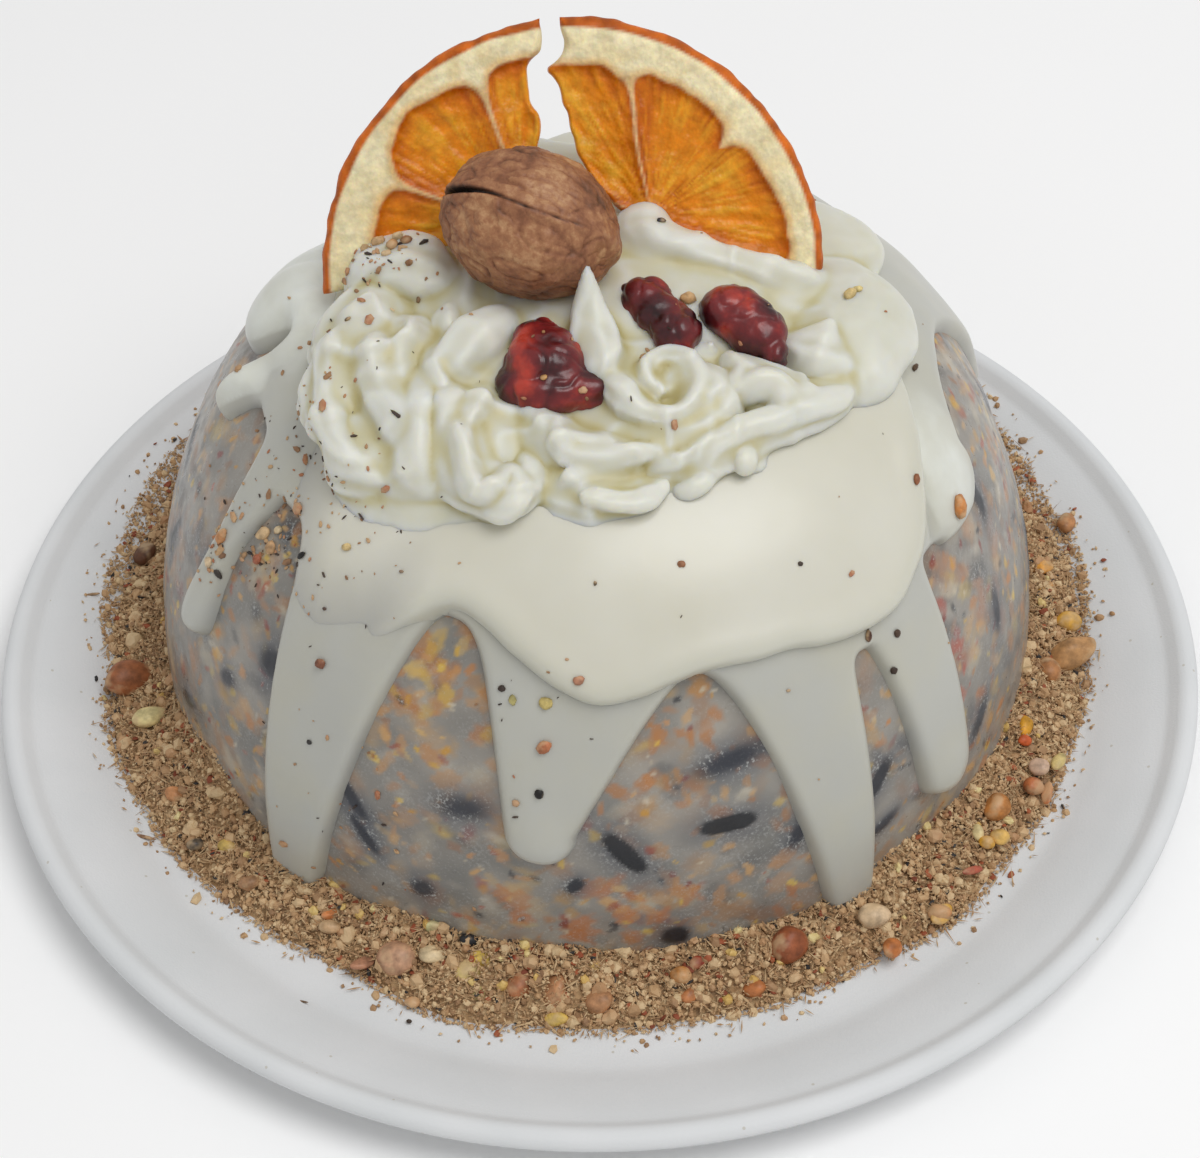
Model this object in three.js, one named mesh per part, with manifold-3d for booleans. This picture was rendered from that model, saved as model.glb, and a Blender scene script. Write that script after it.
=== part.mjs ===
// A drip cake on its round plate: a domed cake of fat and seeds, a thin icing that runs down in drips,
// a thicker pour over its front, a heap of piped cream, and a dried orange slice in two pieces, a walnut
// and dried cranberries pushed into the cream. A ring of crumbs lies round the foot of the cake.
// Millimetres, +Z up, the front toward -Y. The origin is the middle of the plate's underside.
import * as THREE from 'three';
import { mergeVertices } from 'three/addons/utils/BufferGeometryUtils.js';
import Module from 'manifold-3d';

const wasm = await Module();
wasm.setup();

// ---- driving dimensions ---------------------------------------------------------------------------
const GAP = 0.3;              // clearance kept between neighbouring pieces
const POCKET_GAP = 1.0;       // and round the walnut in the coarse pocket that it presses into the cream

const PLATE_R = 115;          // a nine inch moulded plate
const PLATE_FOOT_R = 94;      // flat underside
const PLATE_FLOOR_Z = 2.2;    // top of its flat floor
const PLATE_SIDES = 40;

const CAKE_Y = 11.4;          // the cake stands this far behind the plate's middle
const CAKE_X = -0.4;
const CAKE_BASE_Z = PLATE_FLOOR_Z + GAP;
const DOME_R = 84.13;         // iced dome: a superellipse of revolution
const DOME_BASE_Z = 3;
const DOME_HEIGHT = 85.12;
const DOME_BARREL = 3.86;     // how square the side is
const DOME_CROWN = 2.22;      // how flat the top is
const ICING_DEPTH = 5.6;      // how far the bare cake's top lies under the iced dome
const ICING_FADE = 122;       // arc length from the top at which cake and iced dome meet
const ICING_FADE_POWER = 1.3;
const CAKE_SIDES = 28;
const CAKE_ROWS = [22, 42, 57, 69, 81, 94, 112];  // arc lengths of the bare cake's facets

const HEM_THICK = 2.6;        // thin icing, at the side
const CROWN_EXTRA = 1.0;      // and this much more at the crown, faded out over CROWN_REACH
const CROWN_REACH = 80;
const TIP_SHARE = 0.6;        // most of a drip's length that its round tip takes
const SLANT_FROM = 68;        // a slanting drip leans from this arc length down
const SLANT_REACH = 8;        // and takes the icing within about these degrees with it
const LIP_WIDTH = 3.2;        // an icing edge rounds down over this width
const LIP_ROOT = 1.0;         // and ends this far under the surface below
const POUR_THICK = 2.6;       // the thicker pour

// Arches of bare cake between the drips, and the drips that hang between them. Angles are in degrees
// round the cake, from the front toward the right; lengths run down the dome from its top.
const ARCHES = [
  { at: -86.5, top: 62 }, { at: -74.5, top: 64.5 }, { at: -56, top: 69 }, { at: -23, top: 71 },
  { at: 12, top: 79.5 }, { at: 39, top: 89 }, { at: 54.5, top: 79.5 }, { at: 86, top: 63 },
  { at: 122, top: 69 }, { at: 159, top: 66 }, { at: 197, top: 71 }, { at: 236, top: 61 },
];
const DRIPS = [
  { at: -79.5, half: 2.6, end: 69 }, { at: -62, half: 3.2, end: 110, slant: -0.2 },
  { at: -40.5, half: 3.6, end: 138 }, { at: -7.5, half: 4.4, end: 115 },
  { at: 31.2, half: 3.3, end: 138 }, { at: 48.5, half: 3.9, end: 127.5 },
  { at: 66, half: 8, end: 82 }, { at: 104, half: 4.6, end: 96 }, { at: 141, half: 4, end: 131 },
  { at: 178, half: 4.4, end: 108 }, { at: 216, half: 3.8, end: 122 }, { at: 256, half: 12, end: 73 },
];
// Thicker lobes of the thin icing: angle, length from the top, reach and rise.
const SWELLS = [
  { at: -104, down: 50, reach: 19, rise: 2.6 }, { at: -80, down: 59, reach: 9, rise: 3.4 },
  { at: 66, down: 70, reach: 12, rise: 0.9 }, { at: 88, down: 46, reach: 20, rise: 1.4 },
];
// The pour's edge: its reach down the dome at angles round the cake, joined by a smooth closed curve.
const POUR_EDGE = [
  [-140, 32], [-100, 30], [-70, 36], [-55, 58], [-45, 75.5], [-37, 75], [-30, 71], [-22, 68],
  [-14, 71], [-5, 79], [5, 80], [13, 77.5], [22, 72], [33, 73], [45, 76], [53, 73.5],
  [58, 60], [68, 38], [100, 30], [135, 34], [162, 54], [184, 57], [206, 36],
];
const POUR_COLUMNS = 36;
const SEAT_COLUMNS = 28;      // of the coarse form that cuts the undersides
const SEAT_GAP = 1.0;
const SEAT_END = 98;
const THIN_ROWS = [28, 48, 61, 74, 88, 108];      // arc lengths of the icings' facets
const POUR_ROWS = [26, 44, 58, 68];
const SEAT_ROWS = [18, 35, 50, 60, 70, 80];
const LAST_ROW = 1.4;         // and one row more, this far above the edge
const HEART_Z = 40;           // the icings are filled in to a point this high inside the cake
const EDGE_STEP = 0.5;        // degrees between the places at which an edge is taken
const EDGE_REACH = 14;        // an edge is felt no farther than this

const CRUMB_OUT_R = 97.2;     // the crumb ring's foot
const CRUMB_SWAY = 1.8;       // its uneven outline
const CRUMB_HEIGHT = 6.2;     // against the cake
const CRUMB_ROUGH = 0.22;     // its uneven height, as a share
const CRUMB_SIDES = 36;
// Its section from the cake outward: shares of the width and of the height.
const CRUMB_SHOULDER = [0.36, 0.86];
const CRUMB_SLOPE = [0.78, 0.4];

// The two halves of the slice lean back in one plane: [across, up the slope] from SLICE_FOOT.
const SLICE_FOOT = [-3, 13, 90];
const SLICE_LEAN = 35;        // degrees from upright
const SLICE_R = 44.4;
const SLICE_CENTRE = [-0.5, 1.7];
const SLICE_THICK = 4.6;
const PEEL_BUMP = 0.35;       // unevenness of the peel
const PEEL_STEPS = 11;
const RIND = 6.4;             // peel and pith together
const PULP_SINK = 1.1;        // the pulp has dried below the pith
const MEMBRANE = 1.2;         // thickness of the wall between two segments
const CORE_R = 2.5;
const SLICES = {
  orange_slice_left: {
    arc: [184, 96.5], core: [-19.3, 15.7], walls: [55, 76, 167, 200],
    edge: [[-5.2, 41.5], [-7.9, 37.5], [-7.5, 32], [-5.7, 27.7], [-8.5, 17], [-17, 8.5], [-32, 2]],
  },
  orange_slice_right: {
    arc: [92, -4], core: [17.2, 12.8], walls: [-24, 48, 110, 150],
    edge: [[38, -1.8], [28, 3], [17, 6.5], [8, 12.5], [1.6, 20.6], [-0.6, 27.6], [-2.5, 34.5],
      [-4.2, 37.1], [-1.7, 40.5]],
  },
};

const WALNUT = { at: [-10.7, 7.2, 108.3], half: [15.6, 12.6, 12.9], turn: [-8, 16, -12] };
const SEAM_RISE = 0.7;        // the ridge where the two halves of the shell meet
const SEAM_WIDTH = 0.16;      // as a share of the half height
const SHELL_FOLD = 0.25;

// Dried cranberries: the two lumps of each, as middle and half sizes.
const WRINKLE = 0.05;         // of a lump's radius
const CRANBERRIES = {
  cranberry_left: [[[-7.8, -14.4, 95.4], [7.6, 6.8, 5.6]], [[-7.2, -18.4, 93.2], [9.2, 5, 4.4]]],
  cranberry_middle: [[[9.6, -1.2, 97.4], [4.8, 4.6, 4.2]], [[13.6, -6.8, 96], [5, 5, 4.6]]],
  cranberry_right: [[[25.4, -4.2, 96.2], [5.9, 5, 4.6]], [[29.4, -8.4, 94.2], [5, 5.4, 4.2]]],
};

// Heaps of cream that carry the rest: middle and half sizes.
const HEAPS = [
  { at: [-2, 13, 82], half: [45, 40, 16.5] }, { at: [43, 5, 84], half: [14, 18, 8.6] },
  { at: [41, 28, 84], half: [13, 15, 8.4] }, { at: [-6, 42, 84], half: [25, 12, 11.4] },
  { at: [-38, 27, 84], half: [14, 17, 8] },
];
// Strokes of the star nozzle, as points on their middle line with the radius there.
const STROKES = [
  { line: [[5, 16, 99.5], [12, 13.5, 97], [21, 11.5, 94], [31, 10, 91.5], [40, 8, 89]],
    r: [4.6, 5, 5, 5, 4.4] },
  { line: [[0, -18, 90], [0.5, -11, 95], [-0.6, -5.5, 101], [-1.3, -2.4, 108.4]], r: [6.4, 5.2, 2.8, 0.4] },
  { line: [[5, -4, 93], [5.4, -14, 91.5], [6.6, -22, 90], [11, -26, 89], [17.5, -25, 89.5],
    [20.4, -20, 91.5], [16, -16, 93], [11.6, -19.5, 93.2]],
    r: [4.2, 4, 3.8, 3.6, 3.6, 3.4, 2.8, 1.4] },
  { line: [[-23, -16, 91.5], [-24, -26, 89], [-22, -33, 86.6], [-16.5, -36.6, 86],
    [-11, -33.6, 87.6], [-12.6, -29.6, 89]],
    r: [4.4, 4.2, 4, 3.6, 2.8, 1] },
  { line: [[-38, 6, 91.5], [-44, -8, 88], [-45.5, -20, 84.6]], r: [6.4, 6, 4.4] },
  { line: [[-32, -2, 93], [-35.6, -12.5, 90.6], [-35, -21, 86.6]], r: [4.8, 4.6, 3.4] },
  { line: [[-45, -18, 84.6], [-41, -25.6, 84.2], [-33.6, -28, 85]], r: [4.6, 4.8, 3.6] },
  { line: [[-15, -2, 94.5], [-22, -9, 93.6], [-28.4, -18, 91]], r: [5.4, 5.2, 3.6] },
  { line: [[-29, -12, 91.4], [-30.6, -24, 88.4], [-29, -32.4, 85]], r: [4.6, 4.6, 3.2] },
  { line: [[-13, -21, 90], [-6, -27, 88], [2, -29.6, 87.4], [9.4, -29.6, 87.4]], r: [4.6, 4.6, 4, 2.4] },
  { line: [[-10, -33, 85], [0, -37, 84.4], [8, -35.6, 84.8], [14.4, -31.4, 86]], r: [4.8, 4.8, 4.2, 1.6] },
  { line: [[8.6, -27, 87.6], [17, -29.4, 86.8], [28, -23.4, 87], [37, -16, 86.2], [44, -9, 86]],
    r: [2.6, 4, 4.4, 4.4, 3.6] },
  { line: [[22, -10, 91], [29, -16, 89.6], [36.6, -13.6, 87.6]], r: [4, 4.2, 3] },
  { line: [[-42, 6, 90], [-33, 6.4, 93.6], [-22, 3, 95.6]], r: [3.8, 4.8, 5] },
];
const NOZZLE_RIBS = 4;
const RIB_DEPTH = 0.14;       // of the radius
const RIB_TWIST = 0.025;      // radians for each millimetre piped
const STROKE_ROW = 12.5;       // length piped between two rings of a stroke
const STROKE_CAP = 0.7;       // its rounded ends, as a share of the radius there

// ---- helpers --------------------------------------------------------------------------------------
const RAD = Math.PI / 180;
const clamp = THREE.MathUtils.clamp;
const mix = THREE.MathUtils.lerp;

// A closed mesh's triangles, turned to face outward, as a solid that can be joined and cut.
function solid(geometry) {
  const bare = geometry.clone();
  for (const name of Object.keys(bare.attributes)) if (name !== 'position') bare.deleteAttribute(name);
  const merged = mergeVertices(bare, 1e-4);
  const p = merged.attributes.position.array;
  const corners = [];
  let volume = 0;
  for (let i = 0; i < merged.index.count; i += 3) {
    const [a, b, c] = [0, 1, 2].map((k) => merged.index.getX(i + k));
    if (a === b || b === c || c === a) continue;
    corners.push(a, b, c);
    const [va, vb, vc] = [a, b, c].map((k) => new THREE.Vector3(p[3 * k], p[3 * k + 1], p[3 * k + 2]));
    volume += va.dot(vb.cross(vc));
  }
  if (volume < 0) corners.reverse();
  return new wasm.Manifold(new wasm.Mesh({
    numProp: 3, vertProperties: new Float32Array(p), triVerts: new Uint32Array(corners),
  }));
}

function geometryOf(manifold) {
  const mesh = manifold.getMesh();
  const geometry = new THREE.BufferGeometry();
  geometry.setAttribute('position', new THREE.BufferAttribute(Float32Array.from(mesh.vertProperties), 3));
  geometry.setIndex(Array.from(mesh.triVerts));
  geometry.computeVertexNormals();
  return geometry;
}

// The largest closed skin of a solid: pockets shut in between strokes are filled, loose scraps go.
function outerSkin(manifold) {
  const mesh = manifold.getMesh();
  const corners = mesh.triVerts;
  const p = mesh.vertProperties;
  const parent = Array.from({ length: p.length / 3 }, (_, i) => i);
  const root = (i) => {
    while (parent[i] !== i) i = parent[i] = parent[parent[i]];
    return i;
  };
  for (let i = 0; i < corners.length; i += 3) {
    parent[root(corners[i])] = root(corners[i + 1]);
    parent[root(corners[i + 2])] = root(corners[i + 1]);
  }
  const skins = new Map();
  for (let i = 0; i < corners.length; i += 3) {
    const key = root(corners[i]);
    if (!skins.has(key)) skins.set(key, { corners: [], volume: 0 });
    const one = skins.get(key);
    const [a, b, c] = [0, 1, 2].map((k) => new THREE.Vector3().fromArray(p, 3 * corners[i + k]));
    one.corners.push(corners[i], corners[i + 1], corners[i + 2]);
    one.volume += a.dot(b.cross(c));
  }
  const largest = [...skins.values()].sort((one, other) => other.volume - one.volume)[0];
  const geometry = new THREE.BufferGeometry();
  geometry.setAttribute('position', new THREE.BufferAttribute(Float32Array.from(p), 3));
  geometry.setIndex(largest.corners);
  return solid(geometry);
}

// A closed skin over rows of points: each row is a ring, and first and last rows close on a point.
function skin(rings, first, last) {
  const n = rings[0].length;
  const points = [first, ...rings.flat(), last];
  const index = [];
  const at = (row, k) => 1 + row * n + (k % n);
  for (let k = 0; k < n; k++) index.push(0, at(0, k), at(0, k + 1));
  for (let row = 0; row + 1 < rings.length; row++) {
    for (let k = 0; k < n; k++) {
      index.push(at(row, k), at(row + 1, k), at(row + 1, k + 1));
      index.push(at(row, k), at(row + 1, k + 1), at(row, k + 1));
    }
  }
  const end = rings.length - 1;
  for (let k = 0; k < n; k++) index.push(points.length - 1, at(end, k + 1), at(end, k));
  const geometry = new THREE.BufferGeometry();
  geometry.setAttribute('position', new THREE.Float32BufferAttribute(points.flatMap((v) => v.toArray()), 3));
  geometry.setIndex(index);
  return geometry;
}

// A smooth uneven value round a ring, from -1 to 1.
function uneven(angle, seed) {
  return (Math.sin(3 * angle + seed) + Math.sin(7 * angle + 2.1 * seed) + Math.sin(13 * angle + 3.7 * seed)
    + Math.sin(19 * angle + 0.7 * seed)) / 4;
}

// ---- plate ----------------------------------------------------------------------------------------
function plate(lift = 0) {
  const half = [
    [0, PLATE_FLOOR_Z], [PLATE_FOOT_R - 1, PLATE_FLOOR_Z], [97, 4], [108.6, 9.2], [112.3, 11.6],
    [PLATE_R - 0.6, 11], [PLATE_R, 8.8], [112, 9.2], [108.8, 7], [97.6, 2], [PLATE_FOOT_R, 0], [0, 0],
  ];
  const lathe = new THREE.LatheGeometry(half.map(([r, z]) => new THREE.Vector2(r, z)), PLATE_SIDES);
  return solid(lathe.rotateX(Math.PI / 2).translate(0, 0, lift));
}

// ---- dome -----------------------------------------------------------------------------------------
// The iced dome's profile, walked by arc length from its top.
const PROFILE_STEPS = 900;
const profile = [];
for (let i = 0; i <= PROFILE_STEPS; i++) {
  const t = (Math.PI / 2) * (1 - i / PROFILE_STEPS);
  const r = DOME_R * Math.pow(Math.max(Math.cos(t), 0), 2 / DOME_BARREL);
  const z = DOME_BASE_Z + DOME_HEIGHT * Math.pow(Math.max(Math.sin(t), 0), 2 / DOME_CROWN);
  const last = profile[i - 1];
  profile.push({ r, z, s: last ? last.s + Math.hypot(r - last.r, z - last.z) : 0 });
}
const DOME_ARC = profile[PROFILE_STEPS].s;

function onProfile(s) {
  let low = 0;
  let high = PROFILE_STEPS;
  while (high - low > 1) {
    const middle = (low + high) >> 1;
    if (profile[middle].s > s) high = middle;
    else low = middle;
  }
  const [a, b] = [profile[low], profile[high]];
  const f = clamp((s - a.s) / (b.s - a.s), 0, 1);
  const [p, q] = [profile[Math.max(low - 6, 0)], profile[Math.min(high + 6, PROFILE_STEPS)]];
  const run = Math.hypot(q.r - p.r, q.z - p.z);
  return { r: mix(a.r, b.r, f), z: mix(a.z, b.z, f), nr: (p.z - q.z) / run, nz: (q.r - p.r) / run };
}

// A point over the bare cake's surface: angle in degrees, length from the top, and height above it.
function onCake(angle, s, height) {
  const at = onProfile(clamp(s, 0, DOME_ARC));
  const sunk = ICING_DEPTH * Math.pow(clamp(1 - (s / ICING_FADE) ** 2, 0, 1), ICING_FADE_POWER);
  const normal = s < 1e-6 ? { nr: 0, nz: 1 } : at;
  const r = Math.max(at.r + normal.nr * (height - sunk), 0);
  const z = at.z + normal.nz * (height - sunk);
  return new THREE.Vector3(CAKE_X + r * Math.sin(angle * RAD), CAKE_Y - r * Math.cos(angle * RAD), z);
}

// The bare cake, or the cake grown all over by a clearance.
function cake(grow = 0) {
  const rings = [...CAKE_ROWS, DOME_ARC].map((s) => {
    const ring = [];
    for (let k = 0; k < CAKE_SIDES; k++) ring.push(onCake((360 * k) / CAKE_SIDES, s, grow));
    return ring;
  });
  for (const p of rings[rings.length - 1]) p.z = CAKE_BASE_Z - grow;
  const foot = new THREE.Vector3(CAKE_X, CAKE_Y, CAKE_BASE_Z - grow);
  return solid(skin(rings, onCake(0, 0, grow), foot));
}

// ---- icing ----------------------------------------------------------------------------------------
// How far down the thin icing reaches at an angle: the round tip of a drip, or the quarter ellipse of
// an arch that springs from the drip's side.
function hem(angle) {
  const span = ARCHES.length;
  for (let k = 0; k < span; k++) {
    const from = ARCHES[k];
    const to = ARCHES[(k + 1) % span];
    const drip = DRIPS[k];
    const width = (to.at - from.at + 360) % 360;
    const turn = (angle - from.at + 720) % 360;
    if (turn > width) continue;
    const x = turn - (drip.at - from.at);
    const arch = x < 0 ? from : to;
    const room = x < 0 ? drip.at - from.at : width - (drip.at - from.at);
    const tip = Math.min(drip.half * onProfile(drip.end).r * RAD, (drip.end - arch.top) * TIP_SHARE);
    if (Math.abs(x) <= drip.half) return drip.end - tip * (1 - Math.sqrt(1 - (x / drip.half) ** 2));
    const u = (Math.abs(x) - drip.half) / (room - drip.half);
    return arch.top + (drip.end - tip - arch.top) * (1 - Math.sqrt(1 - (1 - u) ** 2));
  }
  return ARCHES[0].top;
}

const pourCurve = new THREE.CatmullRomCurve3(
  POUR_EDGE.map(([angle, s]) => new THREE.Vector3(angle, s, 0)), false, 'catmullrom', 0.5);
const pourPoints = pourCurve.getPoints(240);
function pourEdge(angle) {
  const a = ((angle + 140 + 720) % 360) - 140;
  for (let k = 1; k < pourPoints.length; k++) {
    if (pourPoints[k].x < a) continue;
    const [p, q] = [pourPoints[k - 1], pourPoints[k]];
    return mix(p.y, q.y, clamp((a - p.x) / (q.x - p.x), 0, 1));
  }
  const [p, q] = [POUR_EDGE[POUR_EDGE.length - 1], POUR_EDGE[0]];
  return mix(p[1], q[1], clamp((a - p[0]) / (q[0] + 360 - p[0]), 0, 1));
}

// Distance from a place on the dome to an edge that is a function of the angle.
function edgeSamples(edge) {
  const samples = [];
  for (let a = 0; a < 360; a += EDGE_STEP) samples.push([a, edge(a)]);
  return samples;
}
function edgeDistance(samples, angle, s) {
  const perDegree = onProfile(clamp(s, 5, DOME_ARC)).r * RAD;
  let best = EDGE_REACH;
  for (const [a, e] of samples) {
    const turn = ((a - angle + 540) % 360) - 180;
    best = Math.min(best, Math.hypot(turn * perDegree, e - s));
  }
  return best;
}
function lip(distance, thick) {
  const x = clamp(distance / LIP_WIDTH, 0, 1);
  return (thick + LIP_ROOT) * Math.sqrt(1 - (1 - x) ** 2) - LIP_ROOT;
}

// A drip that runs down at a slant carries the whole surface near it sideways.
function slanted(angle, s) {
  let shift = 0;
  for (const { at, slant, end } of DRIPS) {
    if (!slant) continue;
    const turn = ((angle - at + 540) % 360) - 180;
    const near = Math.exp(-((turn / SLANT_REACH) ** 2));
    shift += slant * near * clamp(s - SLANT_FROM, 0, end - SLANT_FROM);
  }
  return angle + shift;
}

const hemSamples = edgeSamples(hem);
const pourSamples = edgeSamples(pourEdge);

function thinIcingHeight(angle, s) {
  let thick = HEM_THICK + CROWN_EXTRA * clamp(1 - s / CROWN_REACH, 0, 1);
  const r = onProfile(clamp(s, 0, DOME_ARC)).r;
  for (const { at, down, reach, rise } of SWELLS) {
    const turn = ((angle - at + 540) % 360) - 180;
    const far = Math.hypot(turn * RAD * r, s - down) / reach;
    if (far < 1) thick += rise * (1 - far * far) ** 2;
  }
  return thick;
}

// Angles at which the thin icing's surface is worked out: close together at a drip's sides.
function hemColumns() {
  const columns = [];
  ARCHES.forEach((from, k) => {
    const drip = DRIPS[k];
    const to = ARCHES[(k + 1) % ARCHES.length];
    const end = from.at + ((to.at - from.at + 360) % 360);
    const [left, right] = [drip.at - drip.half, drip.at + drip.half];
    columns.push(from.at, mix(left, from.at, 0.4), mix(left, from.at, 0.1), left);
    columns.push(mix(left, drip.at, 0.5), mix(right, drip.at, 0.5));
    columns.push(right, mix(right, end, 0.1), mix(right, end, 0.4));
  });
  return columns;
}

// An icing as a filled solid: its outer surface in rows down to its edge, and closed on a point inside
// the cake. Rows below a column's edge fall together on its last row but one.
function iced(columns, edge, heightAt, rows) {
  const rings = [...rows, Infinity].map((row) => columns.map((angle) => {
    const end = edge(angle);
    const s = row === Infinity ? end : Math.min(row, end - LAST_ROW);
    return onCake(slanted(angle, s), s, heightAt(angle, s));
  }));
  const heart = new THREE.Vector3(CAKE_X, CAKE_Y, HEART_Z);
  return solid(skin(rings, onCake(0, 0, heightAt(0, 0)), heart));
}
function evenColumns(count) {
  return Array.from({ length: count }, (_, k) => ((k + 0.5) / count) * 360 - 180);
}
function thinIcing(grow = 0) {
  const height = (angle, s) => lip(edgeDistance(hemSamples, angle, s), thinIcingHeight(angle, s)) + grow;
  return iced(hemColumns(), hem, height, THIN_ROWS);
}
function pour(grow = 0) {
  const height = (angle, s) => {
    const rim = edgeDistance(pourSamples, angle, s);
    return thinIcingHeight(angle, s) + lip(rim, POUR_THICK) + grow;
  };
  return iced(evenColumns(POUR_COLUMNS), (angle) => pourEdge(angle) + grow, height, POUR_ROWS);
}
// A coarse form of the thin icing without its drips, grown by a clearance, that cuts what lies on it.
function thinSeat() {
  const height = (angle, s) => thinIcingHeight(angle, s) + SEAT_GAP;
  return iced(evenColumns(SEAT_COLUMNS), () => SEAT_END, height, SEAT_ROWS);
}

// ---- crumbs ---------------------------------------------------------------------------------------
function crumbRing(grow = 0) {
  const rings = [];
  const floor = PLATE_FLOOR_Z + GAP - grow;
  const inner = DOME_R + GAP - 2 * grow;
  for (let k = 0; k < CRUMB_SIDES; k++) {
    const angle = (2 * Math.PI * k) / CRUMB_SIDES;
    const foot = CRUMB_OUT_R + CRUMB_SWAY * uneven(angle, 1.3);
    const top = floor + CRUMB_HEIGHT * (1 + CRUMB_ROUGH * uneven(angle, 4.2)) + 2 * grow;
    const shoulder = CRUMB_SHOULDER[1] + CRUMB_ROUGH / 2 * uneven(angle, 2.6);
    const section = [
      [inner, floor],
      [inner, top],
      [mix(inner, foot, CRUMB_SHOULDER[0]), mix(floor, top, shoulder)],
      [mix(inner, foot, CRUMB_SLOPE[0]), mix(floor, top, CRUMB_SLOPE[1])],
      [foot, floor],
    ];
    rings.push(section.map(([r, z]) => new THREE.Vector3(
      CAKE_X + r * Math.sin(angle), CAKE_Y - r * Math.cos(angle), z)));
  }
  const n = rings[0].length;
  const index = [];
  const at = (k, i) => (k % CRUMB_SIDES) * n + (i % n);
  for (let k = 0; k < CRUMB_SIDES; k++) {
    for (let i = 0; i < n; i++) {
      index.push(at(k, i), at(k + 1, i), at(k + 1, i + 1));
      index.push(at(k, i), at(k + 1, i + 1), at(k, i + 1));
    }
  }
  const geometry = new THREE.BufferGeometry();
  geometry.setAttribute('position',
    new THREE.Float32BufferAttribute(rings.flat().flatMap((v) => v.toArray()), 3));
  geometry.setIndex(index);
  return solid(geometry);
}

// ---- orange ---------------------------------------------------------------------------------------
// Extruded along the slice's own normal, from below the middle plane to above it.
function slab(points, from, to) {
  const shape = new THREE.Shape(points.map(([a, b]) => new THREE.Vector2(a, b)));
  const geometry = new THREE.ExtrudeGeometry(shape, { depth: to - from, bevelEnabled: false, steps: 1 });
  return solid(geometry.translate(0, 0, from));
}
function sliceOutline({ arc, edge }, grow) {
  const points = [];
  for (let k = 0; k <= PEEL_STEPS; k++) {
    const way = mix(arc[0], arc[1], k / PEEL_STEPS) * RAD;
    const radius = SLICE_R + PEEL_BUMP * Math.sin(5.3 * k);
    points.push([SLICE_CENTRE[0] + radius * Math.cos(way), SLICE_CENTRE[1] + radius * Math.sin(way)]);
  }
  return widened(points.concat(edge), grow);
}

// An outline that runs clockwise, moved outward by a clearance at each of its corners.
function widened(points, grow) {
  return points.map(([x, y], k) => {
    const before = points[(k + points.length - 1) % points.length];
    const after = points[(k + 1) % points.length];
    const a = new THREE.Vector2(before[1] - y, x - before[0]).normalize();
    const b = new THREE.Vector2(y - after[1], after[0] - x).normalize();
    const out = a.add(b).normalize().multiplyScalar(1.3 * grow);
    return [x + out.x, y + out.y];
  });
}

// The sunk pulp of one segment: between two walls that meet at the core, and inside the rind.
function segment(core, from, to) {
  const steps = 4;
  const points = [];
  const middle = ((from + to) / 2) * RAD;
  const wall = MEMBRANE / 2 / (SLICE_R / 2) / RAD;
  points.push([core[0] + CORE_R * Math.cos(middle), core[1] + CORE_R * Math.sin(middle)]);
  for (let k = 0; k <= steps; k++) {
    const way = mix(from + wall, to - wall, k / steps) * RAD;
    const [dx, dy] = [Math.cos(way), Math.sin(way)];
    const [ox, oy] = [core[0] - SLICE_CENTRE[0], core[1] - SLICE_CENTRE[1]];
    const reach = SLICE_R - RIND;
    const b = ox * dx + oy * dy;
    const far = -b + Math.sqrt(b * b - (ox * ox + oy * oy) + reach * reach);
    points.push([core[0] + far * dx, core[1] + far * dy]);
  }
  return points;
}

const sliceTilt = new THREE.Matrix4().makeRotationX((90 - SLICE_LEAN) * RAD).setPosition(...SLICE_FOOT);
function orangeSlice(slice, grow = 0) {
  const half = SLICE_THICK / 2 + grow;
  let piece = slab(sliceOutline(slice, grow), -half, half);
  if (grow === 0) {
    const { core, walls } = slice;
    for (let k = 0; k + 1 < walls.length; k++) {
      const bowl = segment(core, walls[k], walls[k + 1]);
      piece = piece.subtract(slab(bowl, half - PULP_SINK, half + 1));
      piece = piece.subtract(slab(bowl, -half - 1, -half + PULP_SINK));
    }
  }
  return solid(geometryOf(piece).applyMatrix4(sliceTilt));
}

// ---- walnut and cranberries -----------------------------------------------------------------------
// A ball whose radius is a function of its direction.
function ball(across, down, radiusAt) {
  const sphere = new THREE.SphereGeometry(1, across, down);
  const p = sphere.attributes.position;
  const v = new THREE.Vector3();
  for (let i = 0; i < p.count; i++) {
    v.fromBufferAttribute(p, i).normalize();
    v.multiplyScalar(radiusAt(v));
    p.setXYZ(i, v.x, v.y, v.z);
  }
  return sphere;
}

function walnut(grow = 0) {
  const [hx, hy, hz] = WALNUT.half;
  const [across, down] = grow ? [10, 7] : [15, 10];
  const shell = ball(across, down, (v) => {
    const seam = SEAM_RISE * Math.exp(-((v.z / SEAM_WIDTH) ** 2));
    const folds = SHELL_FOLD * Math.sin(9 * v.x + 2) * Math.sin(8 * v.y + 5 * v.z);
    return 1 + (seam + folds) / hy;
  });
  const turn = new THREE.Euler(...WALNUT.turn.map((degrees) => degrees * RAD));
  const place = new THREE.Matrix4().makeRotationFromEuler(turn).setPosition(...WALNUT.at);
  shell.scale(hx + grow, hy + grow, hz + grow).applyMatrix4(place);
  return solid(shell);
}

function cranberry(lumps, grow = 0) {
  let berry = null;
  lumps.forEach(([at, half], k) => {
    const lump = ball(8, 6, (v) => {
      const wrinkle = Math.sin(5 * v.x + 3 * k + 1) * Math.sin(4 * v.y + 2) + Math.sin(6 * v.z + k);
      return 1 + WRINKLE * wrinkle;
    });
    const one = solid(lump.scale(...half.map((h) => h + grow)).translate(...at));
    berry = berry ? berry.add(one) : one;
  });
  return berry;
}

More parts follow.
